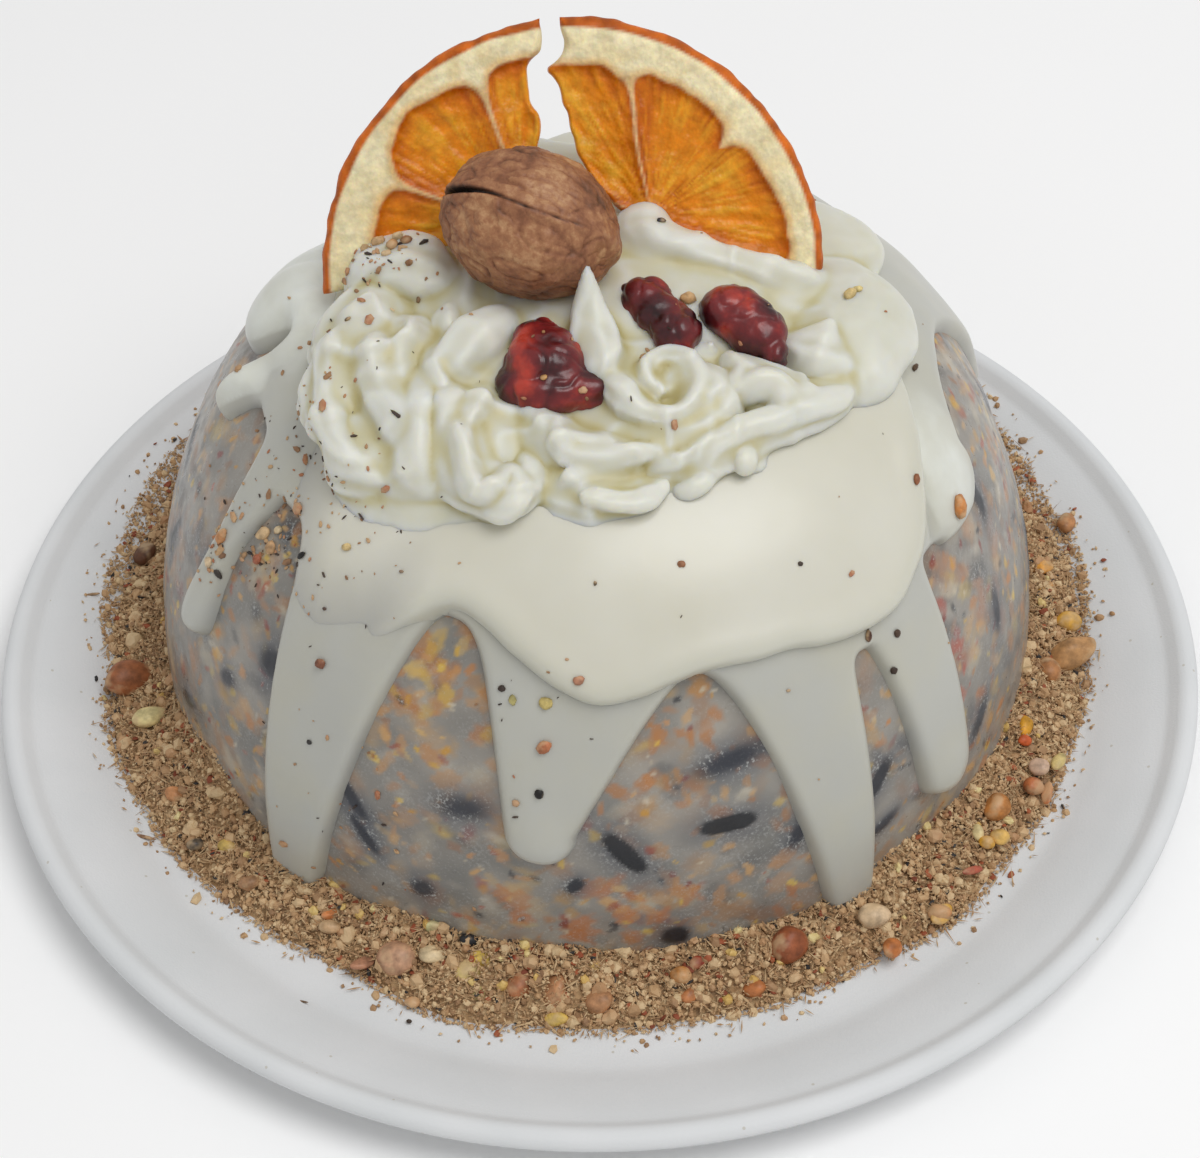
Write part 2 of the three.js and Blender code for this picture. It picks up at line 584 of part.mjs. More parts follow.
// ---- cream ----------------------------------------------------------------------------------------
// A stroke of the star nozzle: ribbed rings along a smooth line, closed on a point at each end.
function stroke({ line, r }) {
  const curve = new THREE.CatmullRomCurve3(line.map((p) => new THREE.Vector3(...p)));
  const rows = Math.max(2, Math.round(curve.getLength() / STROKE_ROW));
  const frames = curve.computeFrenetFrames(rows, false);
  const around = NOZZLE_RIBS * 2;
  const rings = [];
  for (let row = 0; row <= rows; row++) {
    const u = row / rows;
    const middle = curve.getPointAt(u);
    const part = curve.getUtoTmapping(u) * (r.length - 1);
    const k = Math.min(Math.floor(part), r.length - 2);
    const radius = mix(r[k], r[k + 1], part - k);
    const twist = RIB_TWIST * u * curve.getLength();
    const ring = [];
    for (let i = 0; i < around; i++) {
      const angle = (2 * Math.PI * i) / around + twist;
      const reach = radius * (1 + RIB_DEPTH * (i % 2 ? -1 : 1));
      ring.push(middle.clone().addScaledVector(frames.normals[row], reach * Math.cos(angle))
        .addScaledVector(frames.binormals[row], reach * Math.sin(angle)));
    }
    rings.push(ring);
  }
  const start = curve.getPointAt(0).addScaledVector(frames.tangents[0], -STROKE_CAP * r[0]);
  const end = curve.getPointAt(1).addScaledVector(frames.tangents[rows], STROKE_CAP * r[r.length - 1]);
  return solid(skin(rings, start, end));
}

function cream(cuts) {
  let heap = null;
  for (const { at, half } of HEAPS) {
    const mound = solid(ball(10, 5, () => 1).rotateX(Math.PI / 2).scale(...half).translate(...at));
    heap = heap ? heap.add(mound) : mound;
  }
  for (const one of STROKES) heap = heap.add(stroke(one));
  heap = outerSkin(heap);
  for (const cut of cuts) heap = heap.subtract(cut);
  return outerSkin(heap);
}

// ---- the whole ------------------------------------------------------------------------------------
const object = new THREE.Group();
function piece(name, manifold, color, roughness) {
  const material = new THREE.MeshStandardMaterial({ color, roughness, metalness: 0 });
  const mesh = new THREE.Mesh(geometryOf(manifold), material);
  mesh.name = name;
  object.add(mesh);
}

piece('plate', plate(), '#dfe1e6', 0.8);
piece('cake', cake().subtract(plate(GAP)), '#8f8a84', 0.5);
piece('icing_drips', thinIcing().subtract(cake(GAP)).subtract(crumbRing(GAP)), '#c9cbc4', 0.4);
piece('icing_pour', pour().subtract(thinSeat()), '#d9d8c4', 0.4);
piece('crumb_ring', outerSkin(crumbRing().subtract(plate(GAP))), '#b99a78', 0.9);
for (const [name, slice] of Object.entries(SLICES)) piece(name, orangeSlice(slice), '#d9801f', 0.35);
piece('walnut', walnut(), '#8a5f3d', 0.75);
for (const [name, lumps] of Object.entries(CRANBERRIES)) piece(name, cranberry(lumps), '#5d1016', 0.35);
piece('piped_cream', cream([
  thinSeat(), pour(2 * GAP), walnut(POCKET_GAP),
  ...Object.values(SLICES).map((slice) => orangeSlice(slice, GAP)),
  ...Object.values(CRANBERRIES).map((lumps) => cranberry(lumps, GAP)),
]), '#e6e3d2', 0.5);

export default object;
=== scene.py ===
"""A drip cake on its round plate: a domed cake of fat and seeds under a thin icing that runs down in drips,
a thicker ivory pour, piped cream, a dried orange slice in two pieces, a walnut and dried cranberries, with a
ring of ground nuts round its foot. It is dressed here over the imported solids, in their frame, in metres."""

import math

import bpy
import numpy as np
from mathutils import Euler, Matrix, Vector


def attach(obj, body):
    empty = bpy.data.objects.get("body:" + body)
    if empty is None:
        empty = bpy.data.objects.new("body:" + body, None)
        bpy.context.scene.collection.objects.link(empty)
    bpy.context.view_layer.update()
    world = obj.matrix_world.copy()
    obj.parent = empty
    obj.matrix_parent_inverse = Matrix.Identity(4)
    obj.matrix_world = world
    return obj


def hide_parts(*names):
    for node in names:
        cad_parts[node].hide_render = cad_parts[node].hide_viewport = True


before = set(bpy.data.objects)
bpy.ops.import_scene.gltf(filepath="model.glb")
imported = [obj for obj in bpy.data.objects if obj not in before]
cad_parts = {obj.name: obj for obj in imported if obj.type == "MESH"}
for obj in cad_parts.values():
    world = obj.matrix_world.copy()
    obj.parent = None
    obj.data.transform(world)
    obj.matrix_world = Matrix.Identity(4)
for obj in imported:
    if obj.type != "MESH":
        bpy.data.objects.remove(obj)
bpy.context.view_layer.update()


# ---- studio ----------------------------------------------------------------------------------------
# A matt pale floor, one large soft light overhead and to the right, and even light from all round. The
# camera looks down at the front of the cake through a long lens.
MM = 0.001
FLOOR_HALF = 3000
FLOOR_DROP = 0.2
PAPER_DRIFT = 333.3
KEY_PLACE = (0.42, -0.28, 1.25)
KEY_AIM = (0, 0, 0.05)
KEY_SIZE = 0.9
KEY_POWER = 8.9
FILL_STRENGTH = 0.57
CAMERA_PLACE = (0.0004, -0.3850, 0.4338)
CAMERA_DOWN = 46.57
CAMERA_ROLL = -0.93
CAMERA_LENS = 88.57
SENSOR_WIDTH = 36


def tone(code):
    """The linear colour of an sRGB hex value."""
    parts = [int(code[k:k + 2], 16) / 255 for k in (1, 3, 5)]
    return [*(c / 12.92 if c <= 0.04045 else ((c + 0.055) / 1.055) ** 2.4 for c in parts), 1.0]


def scale_for(size):
    """The scale of a pattern whose grains are this many millimetres across."""
    return 1 / (size * MM)


def fill(tree, made, inputs):
    """Sets inputs of a node to values, or links them where another node's output is given."""
    for key, value in dict(inputs).items():
        if isinstance(value, bpy.types.NodeSocket):
            tree.links.new(value, made.inputs[key])
        else:
            made.inputs[key].default_value = value


def node(tree, kind, inputs=(), stops=(), **settings):
    """Adds a node with its settings, its inputs set or linked, and the stops of its colour ramp."""
    made = tree.nodes.new("ShaderNode" + kind)
    for key, value in settings.items():
        setattr(made, key, value)
    fill(tree, made, inputs)
    for k, (place, colour) in enumerate(stops):
        ramp = made.color_ramp.elements
        stop = ramp[k] if k < 2 else ramp.new(place)
        stop.position = place
        stop.color = tone(colour)
    return made


def finish(name, **shader):
    """A new material with one principled shader. Words in a socket's name are joined by _."""
    material = bpy.data.materials.new(name)
    material.use_nodes = True
    tree = material.node_tree
    tree.nodes.clear()
    bsdf = node(tree, "BsdfPrincipled", {key.replace("_", " "): value for key, value in shader.items()})
    node(tree, "OutputMaterial", {"Surface": bsdf.outputs[0]})
    where = node(tree, "TexCoord").outputs["Object"]
    return material, tree, bsdf, where


def made_of(name, points, faces, material, smooth=True):
    """A mesh object from points in millimetres, faces of one size, and a material."""
    mesh = bpy.data.meshes.new(name)
    points = np.asarray(points, float)
    faces = np.asarray(faces, np.int32)
    mesh.vertices.add(len(points))
    mesh.vertices.foreach_set("co", (points * MM).ravel())
    mesh.loops.add(faces.size)
    mesh.loops.foreach_set("vertex_index", faces.ravel())
    mesh.polygons.add(len(faces))
    mesh.polygons.foreach_set("loop_start", np.arange(0, faces.size, faces.shape[1], dtype=np.int32))
    mesh.update(calc_edges=True)
    mesh.polygons.foreach_set("use_smooth", np.full(len(faces), smooth))
    made = bpy.data.objects.new(name, mesh)
    bpy.context.scene.collection.objects.link(made)
    mesh.materials.append(material)
    return made


# Backdrop paper has no shine, and its tone drifts a little from place to place.
backdrop_paper, tree, bsdf, where = finish("matt backdrop paper", Roughness=0.9)
soft = node(tree, "TexNoise", {"Vector": where, "Scale": scale_for(PAPER_DRIFT), "Detail": 2.0})
pale = node(tree, "ValToRGB", {"Fac": soft.outputs["Fac"]}, stops=((0.3, "#f5f5f5"), (0.7, "#f9f9f9")))
fill(tree, bsdf, {"Base Color": pale.outputs["Color"]})
corners = [(x * FLOOR_HALF, y * FLOOR_HALF, -FLOOR_DROP) for x, y in ((-1, -1), (1, -1), (1, 1), (-1, 1))]
floor = made_of("floor", corners, [(0, 1, 2, 3)], backdrop_paper)

key = bpy.data.lights.new("key", "AREA")
key.shape = "DISK"
key.size = KEY_SIZE
key.energy = KEY_POWER
key_light = bpy.data.objects.new("key", key)
key_light.location = KEY_PLACE
key_light.rotation_euler = (Vector(KEY_AIM) - Vector(KEY_PLACE)).to_track_quat("-Z", "Y").to_euler()
bpy.context.scene.collection.objects.link(key_light)

world = bpy.data.worlds.new("soft room")
world.use_nodes = True
world.node_tree.nodes["Background"].inputs["Color"].default_value = (1, 1, 1, 1)
world.node_tree.nodes["Background"].inputs["Strength"].default_value = FILL_STRENGTH
bpy.context.scene.world = world
bpy.context.scene.view_settings.view_transform = "Standard"

lens = bpy.data.cameras.new("camera")
lens.lens = CAMERA_LENS
lens.sensor_width = SENSOR_WIDTH
camera = bpy.data.objects.new("camera", lens)
tilt = Matrix.Rotation(math.radians(90 - CAMERA_DOWN), 4, "X")
roll = Matrix.Rotation(math.radians(CAMERA_ROLL), 4, "Z")
camera.matrix_world = Matrix.Translation(CAMERA_PLACE) @ tilt @ roll
bpy.context.scene.collection.objects.link(camera)
bpy.context.scene.camera = camera


# ---- plate -----------------------------------------------------------------------------------------
# A nine inch picnic plate of moulded bagasse pulp: flat floor, flared rim, a shallow groove and a
# rolled lip. The pulp is pressed wet between hot moulds, so it is white, matt and faintly grainy.
PLATE_AROUND = 288
PULP_GRAIN = 0.45
PULP_PATCH = 22.22
FIBRE_GAP = 5.263
FIBRE_SPECK = 0.055
# The profile is radius and height: out over the upper face, whose points come first, and back underneath.
UPPER_FACE = 14
PLATE_PROFILE = [
    (0, 2.2), (30, 2.2), (60, 2.2), (90, 2.2), (93.2, 2.35), (95.2, 3.0), (97, 4.0), (100, 5.4), (104, 7.2),
    (107.2, 8.5), (108.6, 8.9), (109.8, 9.5), (111, 10.9), (112.3, 11.55), (113.6, 11.4), (114.5, 10.7),
    (114.95, 9.7), (114.9, 8.9), (114.2, 8.7), (112.4, 9.2), (111.4, 8.6), (108.8, 6.6), (104.2, 5.0),
    (97.6, 2.0), (95.4, 0.6), (94, 0.05), (92, 0), (60, 0), (0, 0),
]


def sheet_faces(rows, columns, closed=True):
    """Four-sided faces over rows of points, that join round where the rows are closed."""
    across = columns if closed else columns - 1
    row, column = np.meshgrid(np.arange(rows - 1), np.arange(across), indexing="ij")
    right = (column + 1) % columns
    corner = [row * columns + column, row * columns + right, (row + 1) * columns + right,
              (row + 1) * columns + column]
    faces = np.stack(corner, -1).reshape(-1, 4)
    return faces[:, ::-1] if closed else faces


def turned(profile, around):
    """Points of a profile of (radius, height) turned about the upright through the origin."""
    profile = np.array(profile, float)
    angle = np.linspace(0, 2 * np.pi, around, endpoint=False)
    return np.stack([np.outer(profile[:, 0], np.cos(angle)), np.outer(profile[:, 0], np.sin(angle)),
                     np.repeat(profile[:, 1:], around, 1)], -1).reshape(-1, 3)


# Bagasse pressed between moulds is white and matt, with a fine grain, broad patches and stray fibres.
bagasse, tree, bsdf, where = finish("pressed bagasse pulp", Roughness=0.78, IOR=1.45)
grain = node(tree, "TexNoise", {"Vector": where, "Scale": scale_for(PULP_GRAIN), "Detail": 3.0})
patch = node(tree, "TexNoise", {"Vector": where, "Scale": scale_for(PULP_PATCH), "Detail": 2.0})
white = node(tree, "ValToRGB", {"Fac": patch.outputs["Fac"]}, stops=((0.3, "#d3d5d6"), (0.7, "#dadbdc")))
fibre = node(tree, "TexVoronoi", {"Vector": where, "Scale": scale_for(FIBRE_GAP)})
speck = node(tree, "Math", {0: fibre.outputs["Distance"], 1: FIBRE_SPECK}, operation="LESS_THAN")
spotted = node(tree, "Mix", {0: speck.outputs[0], 6: white.outputs["Color"], 7: tone("#c3c0b8")},
               data_type="RGBA")
press = node(tree, "Bump", {"Height": grain.outputs["Fac"], "Strength": 0.35, "Distance": 0.12 * MM})
fill(tree, bsdf, {"Base Color": spotted.outputs[2], "Normal": press.outputs[0]})
plate = made_of("pulp_plate", turned(PLATE_PROFILE, PLATE_AROUND),
                sheet_faces(len(PLATE_PROFILE), PLATE_AROUND), bagasse)
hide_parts("plate")
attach(plate, "root")


# ---- cake ------------------------------------------------------------------------------------------
# The body of the cake: suet and lard melted with seeds and grain, poured into a bowl and turned out. The
# fat is grey, waxy and half clear, so whatever lies just under its surface shows with soft edges.
# The iced dome is a barrelled quarter outline turned round; the bare cake lies an icing's depth under it.
CAKE_X = -0.4
CAKE_Y = 11.4
CAKE_FLOOR = 2.5
DOME_R = 84.13
DOME_BASE_Z = 3
DOME_HEIGHT = 85.12
DOME_BARREL = 3.86
DOME_CROWN = 2.22
ICING_DEPTH = 5.6
ICING_FADE = 122
ICING_FADE_POWER = 1.3
RAD = math.pi / 180
OUTLINE_STEPS = 1801
EVEN_STEPS = 720
CAKE_COLUMNS = 960
CAKE_TOP_ROW = 50
CAKE_STEP = 0.5

step = np.linspace(np.pi / 2, 0, OUTLINE_STEPS)
dome_r = DOME_R * np.maximum(np.cos(step), 0) ** (2 / DOME_BARREL)
dome_z = DOME_BASE_Z + DOME_HEIGHT * np.maximum(np.sin(step), 0) ** (2 / DOME_CROWN)
dome_s = np.concatenate([[0], np.cumsum(np.hypot(np.diff(dome_r), np.diff(dome_z)))])
DOME_ARC = dome_s[-1]
even_s = np.linspace(0, DOME_ARC, EVEN_STEPS)
even_r = np.interp(even_s, dome_s, dome_r)
even_z = np.interp(even_s, dome_s, dome_z)
even_run = np.hypot(np.gradient(even_r), np.gradient(even_z))
even_nr = -np.gradient(even_z) / even_run
even_nz = np.gradient(even_r) / even_run


def radius_at(s):
    """The iced dome's radius at a length down from its top."""
    return np.interp(s, even_s, even_r)


def over_cake(angle, s, height):
    """Points over the bare cake: degrees from the front toward the right, length from the top, height."""
    sunk = ICING_DEPTH * np.clip(1 - (s / ICING_FADE) ** 2, 0, 1) ** ICING_FADE_POWER
    nr = np.interp(s, even_s, even_nr)
    nz = np.interp(s, even_s, even_nz)
    r = np.maximum(radius_at(s) + nr * (height - sunk), 0)
    z = np.interp(s, even_s, even_z) + nz * (height - sunk)
    return np.stack([CAKE_X + r * np.sin(angle * RAD), CAKE_Y - r * np.cos(angle * RAD), z], -1)


def turn_from(turn, at):
    """Degrees from one direction round to another, between -180 and 180."""
    return (turn - at + 180) % 360 - 180


def fade(value, start, end):
    """Nought at the start, one at the end, even between them and held beyond them."""
    return np.clip((value - start) / (end - start), 0, 1)


def eased(share):
    """A share from nought to one with soft ends."""
    return share * share * (3 - 2 * share)


def cloud(points, size, seed, octaves=1):
    """Smooth random values from about -1 to 1 at points, in lumps of a size in millimetres.

    Each corner of a cell gets a value scrambled from its own place, and a point blends its cell's eight.
    """
    total = np.zeros(len(points))
    for octave in range(octaves):
        cell = points * (2.0 ** octave / size) + 31.7 * (seed + octave)
        low = np.floor(cell).astype(np.int64)
        part = eased(cell - low)
        value = np.zeros(len(points))
        for corner in range(8):
            offset = np.array([corner & 1, corner >> 1 & 1, corner >> 2])
            key = (low + offset) @ np.array([374761393, 668265263, 1442695041]) + seed * 974711
            key = (key ^ (key >> 13)) * 1274126177 & 0xFFFFFFFF
            key = (key ^ (key >> 16)) & 0xFFFFFF
            weight = np.prod(np.where(offset, part, 1 - part), axis=1)
            value += weight * (key / 0x7FFFFF - 1)
        total += value / 2 ** octave
    return total


def rgb(code):
    """The linear colour of an sRGB hex value as three numbers."""
    return np.array(tone(code)[:3])


def stained(colours, colour, share):
    """Colours at many points, each moved toward another colour by its own share."""
    return colours + (colour - colours) * share[..., None]


def note(made, name, values):
    """Keeps a value or a colour at each point of a mesh, for its material to read."""
    values = np.asarray(values, np.float32)
    if values.ndim == 1:
        made.data.attributes.new(name, "FLOAT", "POINT").data.foreach_set("value", values)
        return
    rgba = np.ones((len(values), 4), np.float32)
    rgba[:, :3] = values
    made.data.attributes.new(name, "FLOAT_COLOR", "POINT").data.foreach_set("color", rgba.ravel())


# The black sunflower seeds that can be told apart in the fat: place on the cake (degrees, length from the
# top), length, width, turn from level, softness of the edge and colour.
SUNK_SEEDS = [
    (-48, 96, 7.0, 6.0, 0, 0.45, "#20222b"), (-56, 107, 4.4, 3.2, 30, 0.5, "#2a2c34"),
    (-32, 112, 10.0, 2.8, -52, 0.3, "#1c1f2a"), (-30, 119, 9.0, 2.2, -48, 0.3, "#20232d"),
    (-17, 106, 9.0, 4.2, 8, 0.7, "#2e3038"), (-22, 127, 4.6, 3.8, 20, 0.5, "#2a2b31"),
    (3, 113, 11.2, 3.8, -52, 0.18, "#0f1118"), (-3, 120, 4.2, 2.6, 55, 0.35, "#23252d"),
    (17, 97, 12.0, 4.0, 8, 0.6, "#2b2e37"), (16, 110, 10.6, 3.8, 0, 0.15, "#0d0f15"),
    (25, 117, 6.0, 3.2, 60, 0.5, "#2a2c35"), (9, 135, 5.2, 4.6, 0, 0.3, "#1b1c22"),
    (37, 114, 9.5, 3.4, 48, 0.35, "#22242c"), (37, 125, 8.0, 2.4, 20, 0.5, "#303138"),
    (73, 85, 11.0, 3.6, 80, 0.4, "#24262d"), (46, 108, 8.0, 2.6, 52, 0.5, "#32343a"),
    (-40, 126, 7.0, 3.0, 35, 0.6, "#33353b"), (57, 121, 9.0, 3.2, 40, 0.5, "#2c2e34"),
    (66, 105, 8.5, 3.0, 70, 0.5, "#303239"), (-68, 92, 8.0, 3.2, 65, 0.6, "#34363b"),
    (-66, 125, 9.0, 3.2, 30, 0.5, "#2b2d33"), (-82, 104, 8.6, 3.2, 75, 0.5, "#2d2f35"),
]
SEED_RISE = 0.12
HALO_TONE = "#444a56"
HALO_LONG = 1.5
HALO_WIDE = 2.1
BACK_SEEDS = 46
BACK_SEED_TONE = "#1b1d26"
BACK_HALO_TONE = "#4f5560"
BARE_FROM = 55
FAT_BASE = "#847f78"
FAT_MILKY = "#9f9a91"
FAT_CLEAR = "#6a6b68"
# What is strewn between them: oat flakes and wheat, cracked maize, red millet, and pale bran.
FLAKE_TONES = ["#b98a5c", "#a87648", "#c59a62", "#93694a", "#b5793f", "#c8a468", "#9a7a5c", "#ad9478"]
YELLOW_TONES = ["#c9a13c", "#c08d2c", "#d0b050"]
RED_TONES = ["#8e3524", "#a2482a", "#7c2b22"]
PALE_TONES = ["#c2b8a4", "#bdb19a", "#aaa296"]
CRYSTAL = 0.5882
CRYSTAL_CLUMP = 7.143
WAX_GRAIN = 2.381

rng = np.random.default_rng(7)
cake_down = np.concatenate([np.linspace(2, CAKE_TOP_ROW, 12)[:-1],
                            np.arange(CAKE_TOP_ROW, DOME_ARC, CAKE_STEP), [DOME_ARC]])
cake_turn = np.linspace(-180, 180, CAKE_COLUMNS, endpoint=False)
turn_grid, down_grid = np.meshgrid(cake_turn, cake_down)
flat = over_cake(turn_grid, down_grid, np.zeros_like(down_grid)).reshape(-1, 3)
# The cast surface waves a little, and the fat is milky in some places and clear in others.
wave = 0.35 * cloud(flat, 16, 3) + 0.12 * cloud(flat, 4, 4) + 0.05 * cloud(flat, 1.6, 5)
milky = np.clip(0.5 + 0.5 * cloud(flat, 13, 11, 3) + 0.2 * cloud(flat, 2.4, 12), 0, 1)
clear = np.clip(0.15 + 0.9 * cloud(flat, 9, 14, 2), 0, 1)
paint = np.empty((*turn_grid.shape, 3))
paint[:] = rgb(FAT_BASE)
paint = stained(paint, rgb(FAT_MILKY), 0.75 * milky.reshape(turn_grid.shape))
paint = stained(paint, rgb(FAT_CLEAR), 0.6 * clear.reshape(turn_grid.shape))
bulge = np.zeros(turn_grid.shape)


def lay(angle, s, length, width, turn, blur, colour, strength, rise=0.0, rough=0.0, shape=2.0):
    """Paints one thing in the fat, and lifts the surface a little over it."""
    reach = (max(length, width) * 0.5) * (1 + blur) + 0.5
    rows = np.nonzero(np.abs(cake_down - s) < reach)[0]
    if not len(rows):
        return
    per_degree = float(radius_at(s)) * RAD
    off = turn_from(cake_turn, angle)
    columns = np.nonzero(np.abs(off * per_degree) < reach)[0]
    x = np.broadcast_to(off[columns] * per_degree, (len(rows), len(columns)))
    y = np.broadcast_to((cake_down[rows] - s)[:, None], x.shape)
    level, steep = math.cos(turn * RAD), math.sin(turn * RAD)
    along = np.abs(level * x - steep * y) / (length / 2)
    aside = np.abs(steep * x + level * y) / (width / 2)
    far = (along ** shape + aside ** shape) ** (1 / shape)
    far = far + rough * np.sin(2.1 * x + 5 * angle) * np.sin(2.7 * y + s)
    cover = strength * eased(np.clip((1 + blur - far) / (2 * blur), 0, 1))
    box = np.ix_(rows, columns)
    paint[box] = stained(paint[box], rgb(colour), cover)
    bulge[box] += rise * cover


def scatter(count, sizes, tones, blur, strength, near=None):
    """Lays many small things of one kind at random: all round the side of the cake, or near a place."""
    for _ in range(count):
        if near:
            angle, s = rng.normal(near[0], near[2]), rng.normal(near[1], near[3])
        else:
            angle, s = rng.uniform(-180, 180), rng.uniform(BARE_FROM, DOME_ARC)
        length = rng.uniform(*sizes)
        lay(angle, s, length, length * rng.uniform(0.3, 0.8), rng.uniform(-180, 180),
            rng.uniform(*blur), str(rng.choice(tones)), rng.uniform(*strength), rise=0.03, rough=0.25)


scatter(1300, (2.5, 6.5), FLAKE_TONES, (0.4, 0.9), (0.2, 0.5))
scatter(300, (2, 5), YELLOW_TONES, (0.4, 0.9), (0.2, 0.5))
scatter(150, (2, 4.5), RED_TONES, (0.4, 0.9), (0.3, 0.6))
scatter(420, (2, 6), PALE_TONES, (0.5, 0.9), (0.25, 0.55))
scatter(300, (3, 8), ["#3c3d42", "#4a4a4c"], (0.6, 0.95), (0.25, 0.6))
scatter(34, (2.5, 6), ["#b5804a", "#bb8a52", "#a8703f"], (0.25, 0.5), (0.4, 0.75), near=(-23, 88, 4.5, 9))
scatter(13, (2.5, 5.5), ["#c2a04c", "#c8a968"], (0.25, 0.5), (0.45, 0.8), near=(-22, 84, 4.5, 8))
scatter(26, (2.5, 5.5), ["#b98546", "#ad7440"], (0.25, 0.5), (0.4, 0.75), near=(10, 94, 6, 7))
scatter(34, (3, 6.5), ["#b5703c", "#b98a5c"], (0.25, 0.5), (0.4, 0.75), near=(2, 128, 14, 5))
scatter(1500, (1.2, 3.4), FLAKE_TONES, (0.2, 0.5), (0.4, 0.85))
scatter(520, (0.9, 2.6), YELLOW_TONES, (0.2, 0.5), (0.4, 0.85))
scatter(300, (0.9, 2.6), RED_TONES, (0.2, 0.5), (0.45, 0.85))
scatter(600, (0.6, 1.8), PALE_TONES, (0.2, 0.5), (0.4, 0.85))
scatter(160, (1.0, 2.4), ["#25262c", "#34353a"], (0.25, 0.6), (0.5, 0.9))
scatter(26, (2.5, 6), ["#a07a62", "#ab8468"], (0.4, 0.8), (0.35, 0.6), near=(62, 94, 6, 12))
scatter(12, (2, 4.5), ["#9c4a3c", "#a8604c"], (0.3, 0.6), (0.5, 0.8), near=(54.5, 102, 2, 6))
scatter(7, (2.5, 5), ["#c08a3c", "#b8743c"], (0.25, 0.5), (0.5, 0.8), near=(57, 126, 2.5, 6))
for angle, s, length, width, turn, blur, colour in SUNK_SEEDS:
    lay(angle, s, length * HALO_LONG, width * HALO_WIDE, turn, 0.8, HALO_TONE, 0.62)
    lay(angle, s, length, width, turn, blur, colour, 0.97, SEED_RISE, rough=0.04, shape=2.4)
for _ in range(BACK_SEEDS):
    angle = rng.uniform(84, 276)
    s, turn = rng.uniform(84, 136), rng.uniform(-90, 90)
    length = rng.uniform(7, 11.5)
    blur = rng.uniform(0.18, 0.6)
    lay(angle, s, length * HALO_LONG, length * 0.6, turn, 0.6, BACK_HALO_TONE, 0.55)
    lay(angle, s, length, length * 0.34, turn, blur, BACK_SEED_TONE, 0.95, SEED_RISE, rough=0.04, shape=2.4)
# A white bloom of tiny fat crystals has settled round the dark seeds and low down, not on their backs.
dark = fade(paint.mean(-1), 0.075, 0.025)
halo = fade(paint.mean(-1), 0.2, 0.08) * (1 - dark)
low_down = fade(down_grid, 112, 138)
bloom = (0.16 + 0.6 * halo + 0.2 * low_down) * (1 - 0.92 * dark)

# Suet set against a smooth bowl is half clear and softly shiny, smeared here and there, and frosted where
# its crystals have grown. They are too fine to show, so they are drawn over half a millimetre across.
seeded_fat, tree, bsdf, where = finish(
    "seed and suet, cast in a bowl", Roughness=0.34, IOR=1.45, Subsurface_Weight=0.22,
    Subsurface_Scale=1.6 * MM, Subsurface_Radius=(1.0, 0.85, 0.65), Coat_Weight=0.18, Coat_Roughness=0.22)
seen = node(tree, "Attribute", attribute_name="sunk").outputs["Color"]
milk = node(tree, "Attribute", attribute_name="bloom").outputs["Fac"]
crystals = node(tree, "TexNoise", {"Vector": where, "Scale": scale_for(CRYSTAL), "Detail": 3.0,
                                   "Roughness": 0.7})
clump = node(tree, "TexNoise", {"Vector": where, "Scale": scale_for(CRYSTAL_CLUMP), "Detail": 2.0})
grown = node(tree, "Math", {0: clump.outputs["Fac"], 1: 0.35, 2: crystals.outputs["Fac"]},
             operation="MULTIPLY_ADD")
frost = node(tree, "MapRange", {0: grown.outputs[0], 1: 0.72, 2: 0.88, 3: 0.0, 4: 1.0})
frosting = node(tree, "Math", {0: frost.outputs[0], 1: milk}, operation="MULTIPLY")
frosted = node(tree, "Mix", {0: frosting.outputs[0], 6: seen, 7: tone("#c2c3bf")}, data_type="RGBA")
wax = node(tree, "TexNoise", {"Vector": where, "Scale": scale_for(WAX_GRAIN), "Detail": 3.0})
smear = node(tree, "MapRange", {0: wax.outputs["Fac"], 1: 0.3, 2: 0.7, 3: 0.26, 4: 0.5})
pitted = node(tree, "Bump", {"Height": wax.outputs["Fac"], "Strength": 0.3, "Distance": 0.35 * MM})
fill(tree, bsdf, {"Base Color": frosted.outputs[2], "Roughness": smear.outputs[0],
                  "Normal": pitted.outputs[0]})
cake_lift = wave.reshape(turn_grid.shape) * (down_grid < DOME_ARC - 1) + bulge
cake_points = over_cake(turn_grid, down_grid, cake_lift)
cake_points[-1, :, 2] = CAKE_FLOOR
cake = made_of("seed_cake", cake_points.reshape(-1, 3), sheet_faces(*turn_grid.shape), seeded_fat)
note(cake, "sunk", paint.reshape(-1, 3))
note(cake, "bloom", bloom.ravel())
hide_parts("cake")
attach(cake, "root")


# ---- thin icing ------------------------------------------------------------------------------------
# White fat poured warm over the turned-out cake: it sets in a skin about three millimetres thick
# whose drips run down between arches of bare cake, each with a rounded edge and a bead at its tip.
HEM_THICK = 2.6
CROWN_EXTRA = 1.0
CROWN_REACH = 80
TIP_SHARE = 0.6
SLANT_FROM = 68
SLANT_REACH = 8
EDGE_SLOPE = 2.3
EDGE_DROP = 2.2
EDGE_REACH = 14
TIP_BEAD = 0.9
BEAD_WIDTH = 4.5
BEAD_LENGTH = 6.5
BEAD_BACK = 5
BEADED = (90, 140)
ICING_COLUMNS = 900
ICING_STEP = 0.55
ICING_END = 141.5
LINE_STEP = 0.2
